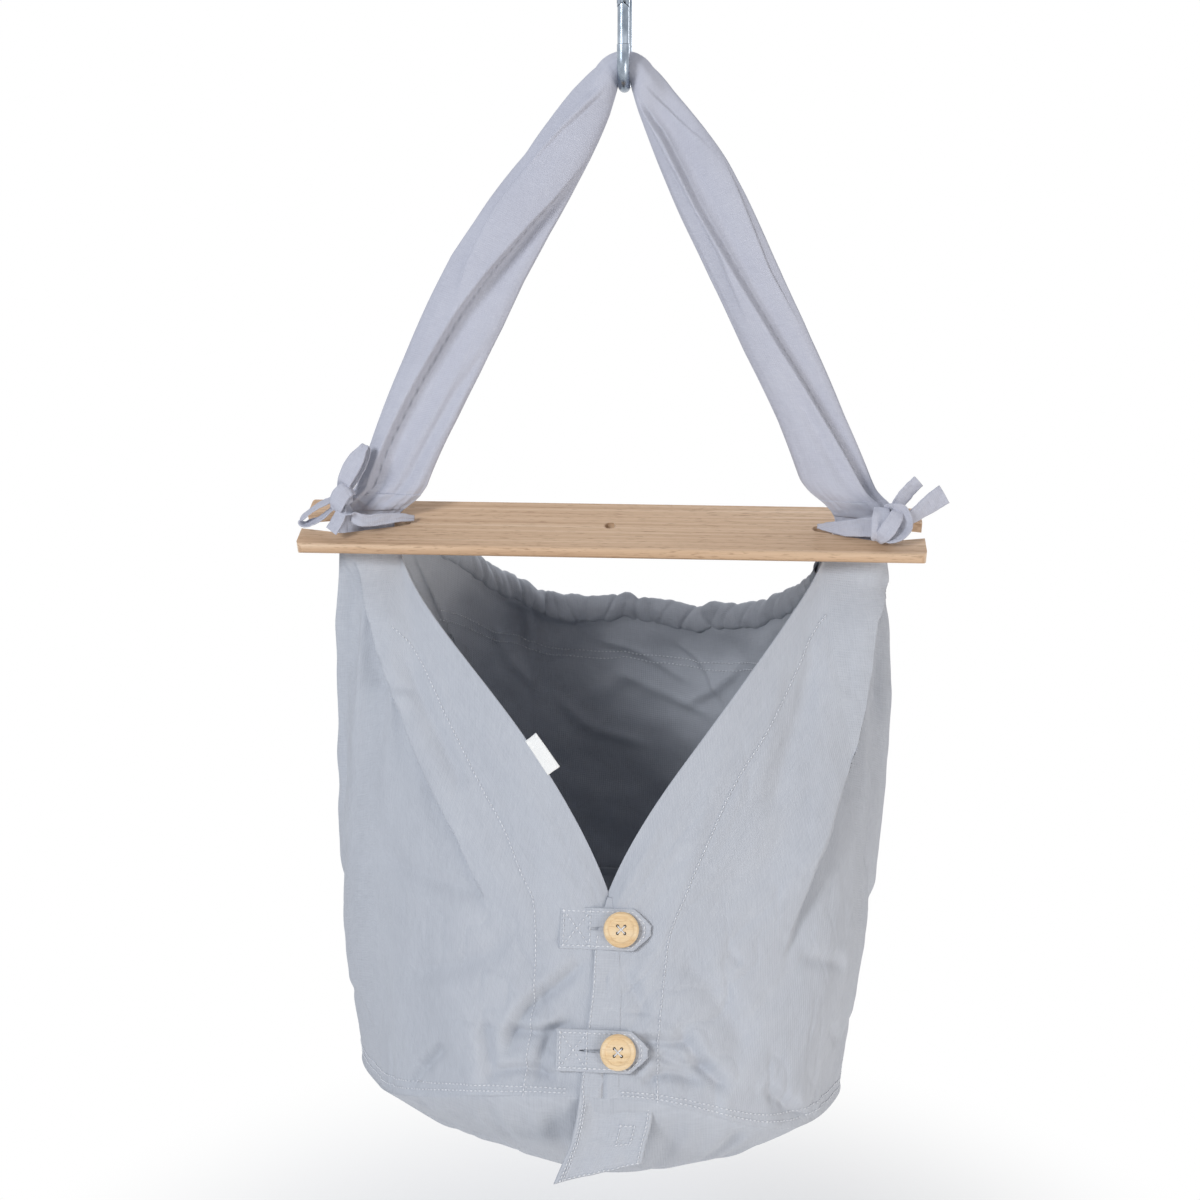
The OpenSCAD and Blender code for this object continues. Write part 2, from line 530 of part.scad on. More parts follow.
// Ties: a ribbon round the foot of each strap leg, knotted on its outer front, lower on the right
function tie_rings(more) = [for (s = tie_s) [for (i = [0 : leg_n - 1]) leg_pt(s, -360 * i / leg_n, more)]];
module tie_band() sleeve(tie_rings(2.6), tie_rings(0.35));
module right_tie_band() color(strap_col) hung() tie_band();
module left_tie_band() color(strap_col) hung() mirror([1, 0, 0]) tie_band();
knot_size = 1.3;
knot_seat = 4.8 + 8.2 * knot_size;
right_knot_p = leg_pt(tie_s[2], -50, knot_seat);
left_knot_p = leg_pt(tie_s[0], -50, knot_seat);
module knot() rotate([0, 70, 0]) rotate_extrude($fn = 40) polygon(knot_size * [[0, -8], [4, -8.5], [7.5, -6],
    [8.6, -2], [7.4, 0], [8.8, 2.4], [7.6, 6], [4, 8.5], [0, 8]]);
module right_tie_knot() color(strap_col) hung() translate(right_knot_p) knot();
module left_tie_knot() color(strap_col) hung() mirror([1, 0, 0]) translate(left_knot_p) knot();
// A tail or loop of ribbon, given by points from the knot, that faces the front.
module tail(ps, across, w) {
    n = len(ps);
    ribbon(ps, [for (i = [0 : n - 1]) across / norm(across)],
        [for (i = [0 : n - 1]) let (d = ps[min(n - 1, i + 1)] - ps[max(0, i - 1)], c = cross(d, across))
            c / norm(c)], w, 2);
}
module right_tie_tails() color(strap_col) hung() translate(right_knot_p) {
    tail([knot_size * [3, -1, 9.7], [8, 0, 20], [15, 2, 26], [24, 4, 32]],
        [0.75, 0.35, -0.55], 0.75 * tie_w);
    tail([knot_size * [9.4, -1, 1.5], [20, 0, 6], [31, 2, 13], [44, 4, 21]],
        [0.35, 0.3, -0.88], 0.75 * tie_w);
}
// The bow: a flat loop that stands up against the strap, an open loop that hangs outwards, and a short end.
module left_tie_bow() color(strap_col) hung() mirror([1, 0, 0]) translate(left_knot_p) {
    tail([knot_size * [-1, -4, 10.2], [-6, -4, 23], [-13, -2, 35], [-19, 1, 43], [-20, 4, 45], [-18, 6, 42],
        [-11, 5, 33], [-3, 4, 22], knot_size * [2, 4, 10.2]], [0.88, 0.2, 0.43], 0.7 * tie_w);
    tail([knot_size * [10.6, 1, -1], [24, 3, -9], [34, 5, -16], [39, 5, -22], [36, 4, -25], [28, 3, -23],
        [19, 2, -18], knot_size * [8.6, 1, -9]], [0.15, 0.95, 0.25], 0.7 * tie_w);
    tail([knot_size * [-1, -4, -10.2], [1, -7, -20], [4, -8, -27]], [0.85, 0.45, 0.25], 0.55 * tie_w);
}

hook_body();
hook_gate();
gate_rivet();
gate_spring();
spreader_bar();
strap_crown();
left_strap();
right_strap();
left_side_panel();
right_side_panel();
front_left_panel();
front_right_panel();
back_panel();
bottom_panel();
rim_casing();
rim_elastic();
placket_flap();
upper_button_tab();
lower_button_tab();
upper_button();
lower_button();
upper_button_thread();
lower_button_thread();
label_tag();
left_tie_band();
left_tie_knot();
left_tie_bow();
right_tie_band();
right_tie_knot();
right_tie_tails();
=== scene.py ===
import math

import bmesh
import bpy
import numpy as np
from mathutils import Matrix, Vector

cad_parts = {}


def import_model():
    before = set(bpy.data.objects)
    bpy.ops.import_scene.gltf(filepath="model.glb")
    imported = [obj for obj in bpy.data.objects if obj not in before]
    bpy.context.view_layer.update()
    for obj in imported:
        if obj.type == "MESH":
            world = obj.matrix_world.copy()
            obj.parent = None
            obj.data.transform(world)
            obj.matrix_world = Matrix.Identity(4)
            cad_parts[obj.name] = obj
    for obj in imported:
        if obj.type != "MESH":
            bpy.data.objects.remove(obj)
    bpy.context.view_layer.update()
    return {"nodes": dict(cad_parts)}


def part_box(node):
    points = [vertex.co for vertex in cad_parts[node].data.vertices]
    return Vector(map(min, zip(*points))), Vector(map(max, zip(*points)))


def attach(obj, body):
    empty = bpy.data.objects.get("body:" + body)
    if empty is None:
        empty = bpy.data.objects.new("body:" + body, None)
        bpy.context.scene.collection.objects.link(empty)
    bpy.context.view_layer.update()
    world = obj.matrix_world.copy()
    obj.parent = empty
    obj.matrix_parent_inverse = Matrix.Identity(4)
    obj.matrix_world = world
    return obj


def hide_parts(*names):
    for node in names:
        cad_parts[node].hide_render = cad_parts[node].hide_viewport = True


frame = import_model()
scene = bpy.context.scene
scene.view_settings.view_transform = "Standard"

# Sizes are in millimetres from the bar's middle, as in the part's source, and turn to metres in world().
BAR = np.array([-11.0, 0.0, -456.0])
STRAP_DROP = 371.0
SIDES = ((-1, "left"), (1, "right"))


def world(p):
    return (np.asarray(p, float) + BAR) * 0.001


def from_bar(p):
    return np.array(p) * 1000 - BAR


def node_middle(name):
    """Middle of a node's box, in millimetres from the bar's middle."""
    low, high = (np.array(c, float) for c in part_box(name))
    return from_bar((low + high) / 2)


# Camera: the photograph's viewing angle, on a square picture
PICTURE_PX, FOCAL_PX, SENSOR_MM = 1200, 1700, 36
CAM_AZ, CAM_EL, CAM_FAR = math.radians(4.2), math.radians(15), 1.5
CAM_AT = Vector((-0.020, 0.0, -0.519))
cam = bpy.data.objects.new("camera", bpy.data.cameras.new("camera"))
cam.data.sensor_width = SENSOR_MM
cam.data.lens = FOCAL_PX / PICTURE_PX * SENSOR_MM
cam.data.clip_end = 50
cam.location = CAM_AT + CAM_FAR * Vector((math.sin(CAM_AZ) * math.cos(CAM_EL),
                                          -math.cos(CAM_AZ) * math.cos(CAM_EL), math.sin(CAM_EL)))
cam.rotation_euler = (CAM_AT - cam.location).to_track_quat("-Z", "Y").to_euler()
scene.collection.objects.link(cam)
scene.camera = cam


# Materials
def linear(code):
    """sRGB hex to linear RGBA."""
    v = [int(code[i:i + 2], 16) / 255 for i in (1, 3, 5)]
    return [c / 12.92 if c <= 0.04045 else ((c + 0.055) / 1.055) ** 2.4 for c in v] + [1.0]


def add(tree, kind, links=None, stops=(), **settings):
    """Adds a node with its settings, and sets its inputs or links them, another node by its first output.
    stops are a colour ramp's (place, hex) pairs."""
    n = tree.nodes.new(kind)
    for key, value in settings.items():
        setattr(n, key, value)
    for key, value in (links or {}).items():
        if isinstance(value, bpy.types.Node):
            value = value.outputs[0]
        if isinstance(value, bpy.types.NodeSocket):
            tree.links.new(value, n.inputs[key])
        else:
            n.inputs[key].default_value = value
    while stops and len(n.color_ramp.elements) < len(stops):
        n.color_ramp.elements.new(0.5)
    for i, (place, code) in enumerate(stops):
        n.color_ramp.elements[i].position, n.color_ramp.elements[i].color = place, linear(code)
    return n


def empty_tree(owner):
    owner.use_nodes = True
    owner.node_tree.nodes.clear()
    return owner.node_tree


def per_mm(*sizes):
    """The scale at which one cell of a pattern measures these millimetres along x, y and z."""
    return [1000 / s for s in sizes]


def woven(name, dark, mid, light, thread, slub, rough=0.86, sheen=0.12):
    """Plain-woven cotton: a matt, slightly mottled face, long slubs in the threads, a fine grid of threads
    and a little fuzz. The threads are drawn about three times as coarse as the real ones, so that they
    show."""
    mat = bpy.data.materials.new(name)
    tree = empty_tree(mat)
    uv = add(tree, "ShaderNodeUVMap", uv_map="cloth")
    wave, endless, thin = thread * 6.283, 1e6, thread * 1.3
    threads, patches = [], []
    for way, size in (("X", (wave, endless, 1)), ("Y", (endless, wave, 1))):
        place = add(tree, "ShaderNodeMapping", {"Vector": uv, "Scale": per_mm(*size)})
        threads.append(add(tree, "ShaderNodeTexWave", {"Vector": place, "Scale": 1.0, "Distortion": 0.6,
                                                       "Detail": 2.0, "Detail Scale": 0.4},
                           wave_type="BANDS", bands_direction=way).outputs["Fac"])
    for size, detail, grit in (((slub, thin, 1), 3.0, 0.5), ((thin, slub, 1), 3.0, 0.5),
                               ((70, 90, 1), 5.0, 0.62)):
        place = add(tree, "ShaderNodeMapping", {"Vector": uv, "Scale": per_mm(*size)})
        patches.append(add(tree, "ShaderNodeTexNoise", {"Vector": place, "Scale": 1.0, "Detail": detail,
                                                        "Roughness": grit}))
    weave = add(tree, "ShaderNodeMath", dict(enumerate(threads)), operation="ADD")
    slubs = add(tree, "ShaderNodeMath", dict(enumerate(patches[:2])), operation="ADD")
    tone = add(tree, "ShaderNodeMath", {0: slubs, 1: 0.24, 2: 0.26}, operation="MULTIPLY_ADD")
    tone = add(tree, "ShaderNodeMath", {0: patches[2], 1: 0.28, 2: tone}, operation="MULTIPLY_ADD")
    tone = add(tree, "ShaderNodeMath", {0: weave, 1: 0.03, 2: tone}, operation="MULTIPLY_ADD")
    colour = add(tree, "ShaderNodeValToRGB", {"Fac": tone}, [(0.45, dark), (0.66, mid), (0.86, light)])
    high = add(tree, "ShaderNodeMath", {0: slubs, 1: 0.7, 2: weave}, operation="MULTIPLY_ADD")
    bump = add(tree, "ShaderNodeBump", {"Strength": 0.28, "Distance": 0.0003, "Height": high})
    face = add(tree, "ShaderNodeBsdfPrincipled",
               {"Base Color": colour, "Roughness": rough, "Sheen Weight": sheen,
                                                  "Sheen Roughness": 0.5, "Specular IOR Level": 0.25,
                                                  "Normal": bump})
    add(tree, "ShaderNodeOutputMaterial", {"Surface": face})
    return mat


canvas = woven("grey cotton canvas", "#A4A8B0", "#B5B9C1", "#C0C4CB", 1.1, 14)
strap_cloth = woven("grey cotton strap canvas", "#A8AAB6", "#B7B9C5", "#C1C3CD", 0.8, 10)
tape = woven("white label tape", "#E3E3E1", "#EEEEEC", "#F6F6F4", 0.9, 6, 0.7, 0.05)


def spun_thread():
    """Polyester sewing thread: a smooth, slightly shiny twist, paler than the cloth."""
    mat = bpy.data.materials.new("polyester sewing thread")
    tree = empty_tree(mat)
    coord = add(tree, "ShaderNodeTexCoord").outputs["Object"]
    place = add(tree, "ShaderNodeMapping", {"Vector": coord, "Scale": per_mm(3, 3, 3)})
    fleck = add(tree, "ShaderNodeTexNoise", {"Vector": place, "Scale": 1.0, "Detail": 2.0})
    colour = add(tree, "ShaderNodeValToRGB", {"Fac": fleck}, [(0.3, "#CCCFD5"), (0.7, "#E5E7EB")])
    bump = add(tree, "ShaderNodeBump", {"Strength": 0.3, "Distance": 0.0002, "Height": fleck})
    face = add(tree, "ShaderNodeBsdfPrincipled", {"Base Color": colour, "Roughness": 0.5, "Sheen Weight": 0.1,
                                                  "Normal": bump})
    add(tree, "ShaderNodeOutputMaterial", {"Surface": face})
    return mat


thread = spun_thread()


def timber(name, dark, mid, light, pore, end, ring, fleck, rough):
    """Planed and oiled hardwood: long growth lines, short dark pores along the grain, and paler end grain
    where a face is cut across. The grain runs along X."""
    mat = bpy.data.materials.new(name)
    tree = empty_tree(mat)
    coord = add(tree, "ShaderNodeTexCoord").outputs["Object"]
    wide, long, short = [add(tree, "ShaderNodeMapping", {"Vector": coord, "Scale": per_mm(*size)})
                         for size in ((260, 60, 60), (900, ring, ring * 2.5), (fleck * 9, fleck, fleck))]
    bend = add(tree, "ShaderNodeTexNoise", {"Vector": wide, "Scale": 1.0, "Detail": 2.0})
    warped = add(tree, "ShaderNodeMixRGB", {"Fac": 0.55, "Color1": long, "Color2": bend.outputs["Color"]},
                 blend_type="ADD")
    rings = add(tree, "ShaderNodeTexNoise",
                {"Vector": warped, "Scale": 1.0, "Detail": 6.0, "Roughness": 0.66})
    pores = add(tree, "ShaderNodeTexNoise", {"Vector": short, "Scale": 1.0, "Detail": 3.0})
    hole = add(tree, "ShaderNodeMapRange", {"Value": pores, "From Min": 0.56, "From Max": 0.72})
    grain = add(tree, "ShaderNodeValToRGB", {"Fac": rings}, [(0.32, dark), (0.5, mid), (0.68, light)])
    share = add(tree, "ShaderNodeMath", {0: hole, 1: 0.55}, operation="MULTIPLY")
    pored = add(tree, "ShaderNodeMixRGB", {"Fac": share, "Color1": grain, "Color2": linear(pore)})
    normal = add(tree, "ShaderNodeSeparateXYZ", {0: add(tree, "ShaderNodeNewGeometry").outputs["Normal"]})
    across = add(tree, "ShaderNodeMath", {0: normal}, operation="ABSOLUTE")
    cut = add(tree, "ShaderNodeMapRange", {"Value": across, "From Min": 0.55, "From Max": 0.85})
    colour = add(tree, "ShaderNodeMixRGB", {"Fac": cut, "Color1": pored, "Color2": linear(end)})
    gloss = add(tree, "ShaderNodeMapRange", {"Value": pores, "From Min": 0.3, "From Max": 0.7,
                                             "To Min": rough - 0.06, "To Max": rough + 0.12})
    bump = add(tree, "ShaderNodeBump", {"Strength": 0.25, "Distance": 0.0003, "Height": hole}, invert=True)
    face = add(tree, "ShaderNodeBsdfPrincipled", {"Base Color": colour, "Roughness": gloss,
                                                  "Specular IOR Level": 0.4, "Coat Weight": 0.05,
                                                  "Coat Roughness": 0.4, "Normal": bump})
    add(tree, "ShaderNodeOutputMaterial", {"Surface": face})
    return mat


beech = timber("oiled beech", "#B28F70", "#C9A98A", "#DBC1A5", "#86664A", "#DCC4AA", 5, 1.2, 0.5)
button_wood = timber("turned button wood", "#D3B184", "#E2C69C", "#EBD6B6", "#B58F60", "#DDBF93", 4, 0.9,
                     0.42)


def plated_steel(name, dark, light, rough):
    """Bright zinc plate on bent steel rod: bluish, with a soft grain and small dull patches."""
    mat = bpy.data.materials.new(name)
    tree = empty_tree(mat)
    coord = add(tree, "ShaderNodeTexCoord").outputs["Object"]
    broad, fine = [add(tree, "ShaderNodeMapping", {"Vector": coord, "Scale": per_mm(*size)})
                   for size in ((9, 9, 14), (1.2, 1.2, 7))]
    patch = add(tree, "ShaderNodeTexNoise", {"Vector": broad, "Scale": 1.0, "Detail": 5.0})
    grain = add(tree, "ShaderNodeTexNoise", {"Vector": fine, "Scale": 1.0, "Detail": 3.0})
    colour = add(tree, "ShaderNodeValToRGB", {"Fac": patch}, [(0.35, dark), (0.65, light)])
    dull = add(tree, "ShaderNodeMapRange", {"Value": patch, "From Min": 0.3, "From Max": 0.7, "To Min": rough,
                                            "To Max": rough + 0.14})
    bump = add(tree, "ShaderNodeBump", {"Strength": 0.15, "Distance": 0.0002, "Height": grain})
    face = add(tree, "ShaderNodeBsdfPrincipled", {"Base Color": colour, "Metallic": 1.0, "Roughness": dull,
                                                  "Normal": bump})
    add(tree, "ShaderNodeOutputMaterial", {"Surface": face})
    return mat


zinc = plated_steel("bright zinc plated steel", "#7C8794", "#A9B3BF", 0.2)
spring = plated_steel("spring steel", "#5E646C", "#80868E", 0.3)


# Stage: a pale floor under the hanging object, a white surround and soft light, in metres.
FLOOR_Z, FLOOR_HALF = -1.45, 12.0
ROOM_LIGHT = 0.36
LAMPS_AIM = Vector((0, 0, -0.6))
# Each lamp's place, width, power in watts and colour: a cool key from the left, a warm fill from the right,
# and two weaker ones behind and above
LAMPS = (("key", (-1.5, -2.2, 0.7), 0.8, 49, "#F8FBFF"), ("fill", (1.5, -1.2, -0.9), 0.9, 14, "#FFF8EF"),
         ("back", (0.8, 2.4, 0.5), 1.2, 22, "#F8FBFF"), ("top", (0.1, 0.3, 1.3), 1.0, 6, "#FBFCFF"))


def seen(tree):
    """1 where the camera, a mirror or glass looks at a surface."""
    path = add(tree, "ShaderNodeLightPath").outputs
    eye = add(tree, "ShaderNodeMath", {0: path["Is Camera Ray"], 1: path["Is Glossy Ray"]},
              operation="MAXIMUM")
    return add(tree, "ShaderNodeMath", {0: eye, 1: path["Is Transmission Ray"]}, operation="MAXIMUM")


def white_floor():
    mat = bpy.data.materials.new("white studio floor")
    tree = empty_tree(mat)
    coord = add(tree, "ShaderNodeTexCoord").outputs["Object"]
    away = add(tree, "ShaderNodeVectorMath", {0: coord}, operation="LENGTH").outputs["Value"]
    far = add(tree, "ShaderNodeMapRange", {"Value": away, "From Min": 0.3, "From Max": 0.9},
              interpolation_type="SMOOTHSTEP")
    part = add(tree, "ShaderNodeMath", {0: far, 1: seen(tree)}, operation="MULTIPLY")
    matt = add(tree, "ShaderNodeBsdfDiffuse", {"Color": linear("#F4F4F4")})
    glow = add(tree, "ShaderNodeEmission", {"Color": (1, 1, 1, 1), "Strength": 1.0})
    mix = add(tree, "ShaderNodeMixShader", {0: part, 1: matt, 2: glow})
    add(tree, "ShaderNodeOutputMaterial", {"Surface": mix})
    return mat


def studio():
    me = bpy.data.meshes.new("floor")
    corners = ((-1, -1), (1, -1), (1, 1), (-1, 1))
    me.from_pydata([(FLOOR_HALF * x, FLOOR_HALF * y, 0) for x, y in corners], [], [(0, 1, 2, 3)])
    me.materials.append(white_floor())
    floor = bpy.data.objects.new("floor", me)
    floor.location = (0, 0, FLOOR_Z)
    scene.collection.objects.link(floor)
    surround = bpy.data.worlds.new("white surround")
    scene.world = surround
    tree = empty_tree(surround)
    room = add(tree, "ShaderNodeBackground", {"Color": linear("#F7F9FF"), "Strength": ROOM_LIGHT})
    white = add(tree, "ShaderNodeBackground", {"Color": (1, 1, 1, 1), "Strength": 1.0})
    mix = add(tree, "ShaderNodeMixShader", {0: seen(tree), 1: room, 2: white})
    add(tree, "ShaderNodeOutputWorld", {"Surface": mix})
    for name, place, size, power, tint in LAMPS:
        lamp = bpy.data.lights.new(name, "AREA")
        lamp.size, lamp.energy, lamp.color = size, power, linear(tint)[:3]
        o = bpy.data.objects.new(name, lamp)
        o.location = place
        o.rotation_euler = (LAMPS_AIM - Vector(place)).to_track_quat("-Z", "Y").to_euler()
        scene.collection.objects.link(o)


studio()


# Cloth, and its thickness: the bag's canvas, the rim casing, the strap, the flap, the ribbons, the bands and
# knots, and the tag
CANVAS_T, CASING_T, STRAP_CLOTH_T, FLAP_T, RIBBON_T, BAND_T, TAPE_T = 1.4, 1.0, 1.2, 1.3, 1.0, 0.9, 0.6


def lerp(a, b, t):
    return a + (b - a) * t


def smooth(x):
    c = np.clip(x, 0, 1)
    return c * c * (3 - 2 * c)


def sind(a):
    return np.sin(np.radians(a))


def cosd(a):
    return np.cos(np.radians(a))


def bez(pts, w):
    w = np.asarray(w, float)[..., None]
    p = [np.asarray(q, float) for q in pts]
    s = 1 - w
    return p[0] * s ** 3 + p[1] * 3 * s * s * w + p[2] * 3 * s * w * w + p[3] * w ** 3


def noise(u, v, seed):
    """Smooth value noise from -1 to 1; u and v are in cells."""
    u, v = np.broadcast_arrays(np.asarray(u, float), np.asarray(v, float))
    n = 127
    grid = np.random.default_rng(seed).uniform(-1, 1, (n, n))
    i, j = np.floor(u).astype(int), np.floor(v).astype(int)
    a, b = u - i, v - j
    a, b = a ** 3 * (a * (6 * a - 15) + 10), b ** 3 * (b * (6 * b - 15) + 10)
    i0, i1, j0, j1 = i % n, (i + 1) % n, j % n, (j + 1) % n
    return lerp(lerp(grid[i0, j0], grid[i1, j0], a), lerp(grid[i0, j1], grid[i1, j1], a), b)


def unit(v):
    return v / np.maximum(1e-9, np.linalg.norm(v, axis=-1, keepdims=True))


def normals(p, look, wrap=False):
    """Normals of a grid of points, turned to the side that look points to."""
    if wrap:
        q = np.concatenate([p[:, -2:], p, p[:, :2]], 1)
        n = np.cross(np.gradient(q, axis=0), np.gradient(q, axis=1))[:, 2:-2]
    else:
        n = np.cross(np.gradient(p, axis=0), np.gradient(p, axis=1))
    n = unit(n)
    return n if (n * look).sum() > 0 else -n


def runs(p, axis):
    """Lengths along a grid's axis, in mm, for its pattern."""
    d = np.linalg.norm(np.diff(p, axis=axis), axis=-1)
    first = np.zeros_like(np.take(d, [0], axis))
    return np.concatenate([first, np.cumsum(d, axis)], axis)


def cells(n, m, first=0, wrap=False):
    """The four corners of each cell in a grid of n by m numbered points, which wrap closes on itself."""
    k = first + np.arange(n * m).reshape(n, m)
    if wrap:
        k = np.concatenate([k, k[:, :1]], 1)
    return np.stack([k[:-1, :-1], k[1:, :-1], k[1:, 1:], k[:-1, 1:]], -1).reshape(-1, 4)


# A cell's corners the other way round
BACKWARDS = [0, 3, 2, 1]


def cell_normals(v, quads):
    return np.cross(v[quads[:, 2]] - v[quads[:, 0]], v[quads[:, 3]] - v[quads[:, 1]])


def grid_piece(name, p, look, mat, thick=CANVAS_T, wrap=False, uv=None):
    """A sheet through an (n, m) grid of points; look says which way its outside faces."""
    if uv is None:
        q = np.concatenate([p, p[:, :1]], 1) if wrap else p
        mid = q.shape[1] // 2
        uv = np.stack([np.broadcast_to(runs(q, 0)[:, mid:mid + 1], q.shape[:2]), runs(q, 1)], -1)
    quads, uv_quads = cells(*p.shape[:2], wrap=wrap), cells(*uv.shape[:2])
    v = world(p).reshape(-1, 3)
    outside = np.broadcast_to(look, p.shape).reshape(-1, 3)
    if (cell_normals(v, quads) * outside[quads[:, 0]]).sum() < 0:
        quads, uv_quads = quads[:, ::-1], uv_quads[:, ::-1]
    return finish_mesh(name, v, quads, mat, uv.reshape(-1, 2)[uv_quads.reshape(-1)] * 0.001, thick)


def finish_mesh(name, v, faces, mat, loop_uv=None, thick=0):
    me = bpy.data.meshes.new(name)
    me.from_pydata([tuple(x) for x in v], [], [tuple(int(i) for i in f) for f in faces])
    if loop_uv is not None:
        me.uv_layers.new(name="cloth").data.foreach_set("uv", np.asarray(loop_uv, float).ravel())
    me.materials.append(mat)
    me.shade_smooth()
    o = bpy.data.objects.new(name, me)
    scene.collection.objects.link(o)
    if thick:
        mod = o.modifiers.new("cloth thickness", "SOLIDIFY")
        mod.thickness, mod.offset = thick * 0.001, -1
    return o


def crease(p, n, path, width, height, step=0.0):
    """A crease along path over the points p with normals n: a ridge or dent, or a step to one side."""
    best = np.full(p.shape[:-1], 1e9)
    side = np.zeros(p.shape[:-1])
    fade = np.zeros(p.shape[:-1])
    length = np.concatenate([[0], np.cumsum(np.linalg.norm(np.diff(path, axis=0), axis=1))])
    for i in range(len(path) - 1):
        a, ab = path[i], path[i + 1] - path[i]
        w = np.clip(((p - a) @ ab) / (ab @ ab), 0, 1)
        off = p - (a + w[..., None] * ab)
        dist = np.linalg.norm(off, axis=-1)
        sign = np.sign((np.cross(ab, off) * n).sum(-1))
        here = dist < best
        run = (length[i] + w * (length[i + 1] - length[i])) / length[-1]
        side = np.where(here, sign * dist, side)
        fade = np.where(here, smooth(run / 0.25) * smooth((1 - run) / 0.25), fade)
        best = np.minimum(best, dist)
    bell = np.exp(-(best / width) ** 2)
    return fade * (height * bell + step * np.tanh(side / (0.45 * width)) * np.exp(-(best / (3 * width)) ** 2))


# The bag's surface, as in the part's source: f is 0 at the front, 90 at the side and 180 at the back, t is 0
# at the top edge and 1 at the bottom seam, and d is 1 on the right and -1 on the left.
NECK_X, NECK_HALF, NECK_T, NECK_Z, NECK_A = 207.8, 32.2, 15.405, -17.35, 133.0
F_FRONT, F_BACK = 62.0, 112.0
HALF_W, DEPTH, BACK, SEAM, DROP = 231.0, 470.0, 20.0, 424.0, 609.0
MIDDLE, BOWL_MIDDLE = (0, BACK, -300), (0, BACK, -430)
APEX_Z, APEX_Y, RIM_Z, RIM_Y = 273.0, 150.0, 136.0, 222.0
RIM_HALF = {-1: 104.0, 1: 133.0}
SAG = {-1: 74.0, 1: 58.0}
CORNER = {-1: 8.0, 1: 20.0}


def neck_pt(a):
    a = np.asarray(a, float)
    return np.stack([NECK_X + NECK_HALF * cosd(a),
                     -NECK_T * (0.12 + 0.44 * (1 + cosd(a))) * sind(a), NECK_Z + 0 * a], -1)


def top_front(w):
    n = neck_pt(NECK_A)
    return bez([[0, -APEX_Y, -APEX_Z], [0.22 * n[0], -0.833 * APEX_Y, -0.604 * APEX_Z],
                [0.93 * n[0], -0.2 * APEX_Y, -0.256 * APEX_Z], n], w)


def top_back(w, d):
    n = neck_pt(-NECK_A)
    out, down = (0.884, -0.197) if d < 0 else (0.965, -0.779)
    return bez([n, [out * n[0], 0.497 * RIM_Y, down * RIM_Z], [RIM_HALF[d], RIM_Y, -1.219 * RIM_Z],
                [0, RIM_Y, -RIM_Z]], w)


def top_pt(f, d):
    front = top_front(np.clip(f / F_FRONT, 0, 1))
    back = top_back(np.clip((f - F_BACK) / (180 - F_BACK), 0, 1), d)
    neck = neck_pt(NECK_A - 2 * NECK_A * np.clip((f - F_FRONT) / (F_BACK - F_FRONT), 0, 1))
    return np.where((f <= F_FRONT)[..., None], front, np.where((f >= F_BACK)[..., None], back, neck))


def bot_pt(f, d):
    s, c = np.maximum(0, sind(f)), cosd(f)
    tilt = (22.0 if d > 0 else 0.0) * smooth(f / 32) * (1 - smooth((f - 36) / 36))
    return np.stack([(HALF_W - CORNER[d] * s * s) * s ** 0.78,
                     BACK - DEPTH / 2 * np.sign(c) * np.abs(c) ** 0.78,
                     -SEAM - SAG[d] * s * s - 8 * (1 - c) - tilt], -1)


def lean(p):
    """Shifts the bag's front a little to the right and its foot a little to the left."""
    low = -8 * smooth((-p[..., 2] / DROP - 0.25) / 0.5)
    x = p[..., 0] + lerp(low, 9.0, smooth((-p[..., 1] / APEX_Y - 0.13) / 0.6))
    return np.stack([x, p[..., 1], p[..., 2]], -1)


def wall_n(f, t):
    """Which way a wall faces, before its folds."""
    b = 180 * np.clip((f - F_FRONT) / (F_BACK - F_FRONT), 0, 1)
    k = smooth(t * 2)[..., None]
    v = lerp(np.stack([sind(b), -cosd(b), 0 * f], -1), np.stack([sind(f), -cosd(f), 0 * f], -1), k)
    return v / np.maximum(0.2, np.linalg.norm(v, axis=-1, keepdims=True))


# Each front's drag fold runs from the bar's end towards the closing line, as (t, f) points. Then come how far
# down it reaches, how wide its edge is and how deep the hollow is beside it.
DRAG = {-1: [(0, 78), (.04, 75), (.1, 70), (.17, 65), (.22, 59), (.25, 53), (.3, 45), (.375, 34.5), (.5, 26)],
        1: [(0, 89), (.05, 86), (.12, 77), (.2, 74), (.27, 70.5), (.34, 65), (.4, 55), (.46, 46), (.51, 43),
            (.65, 36)]}
DRAG_END = {-1: 0.28, 1: 0.42}
DRAG_EDGE = {-1: 1.6, 1: 2.5}
DRAG_DIP = {-1: 13.0, 1: 9.0}
FOLD_SEED = 11


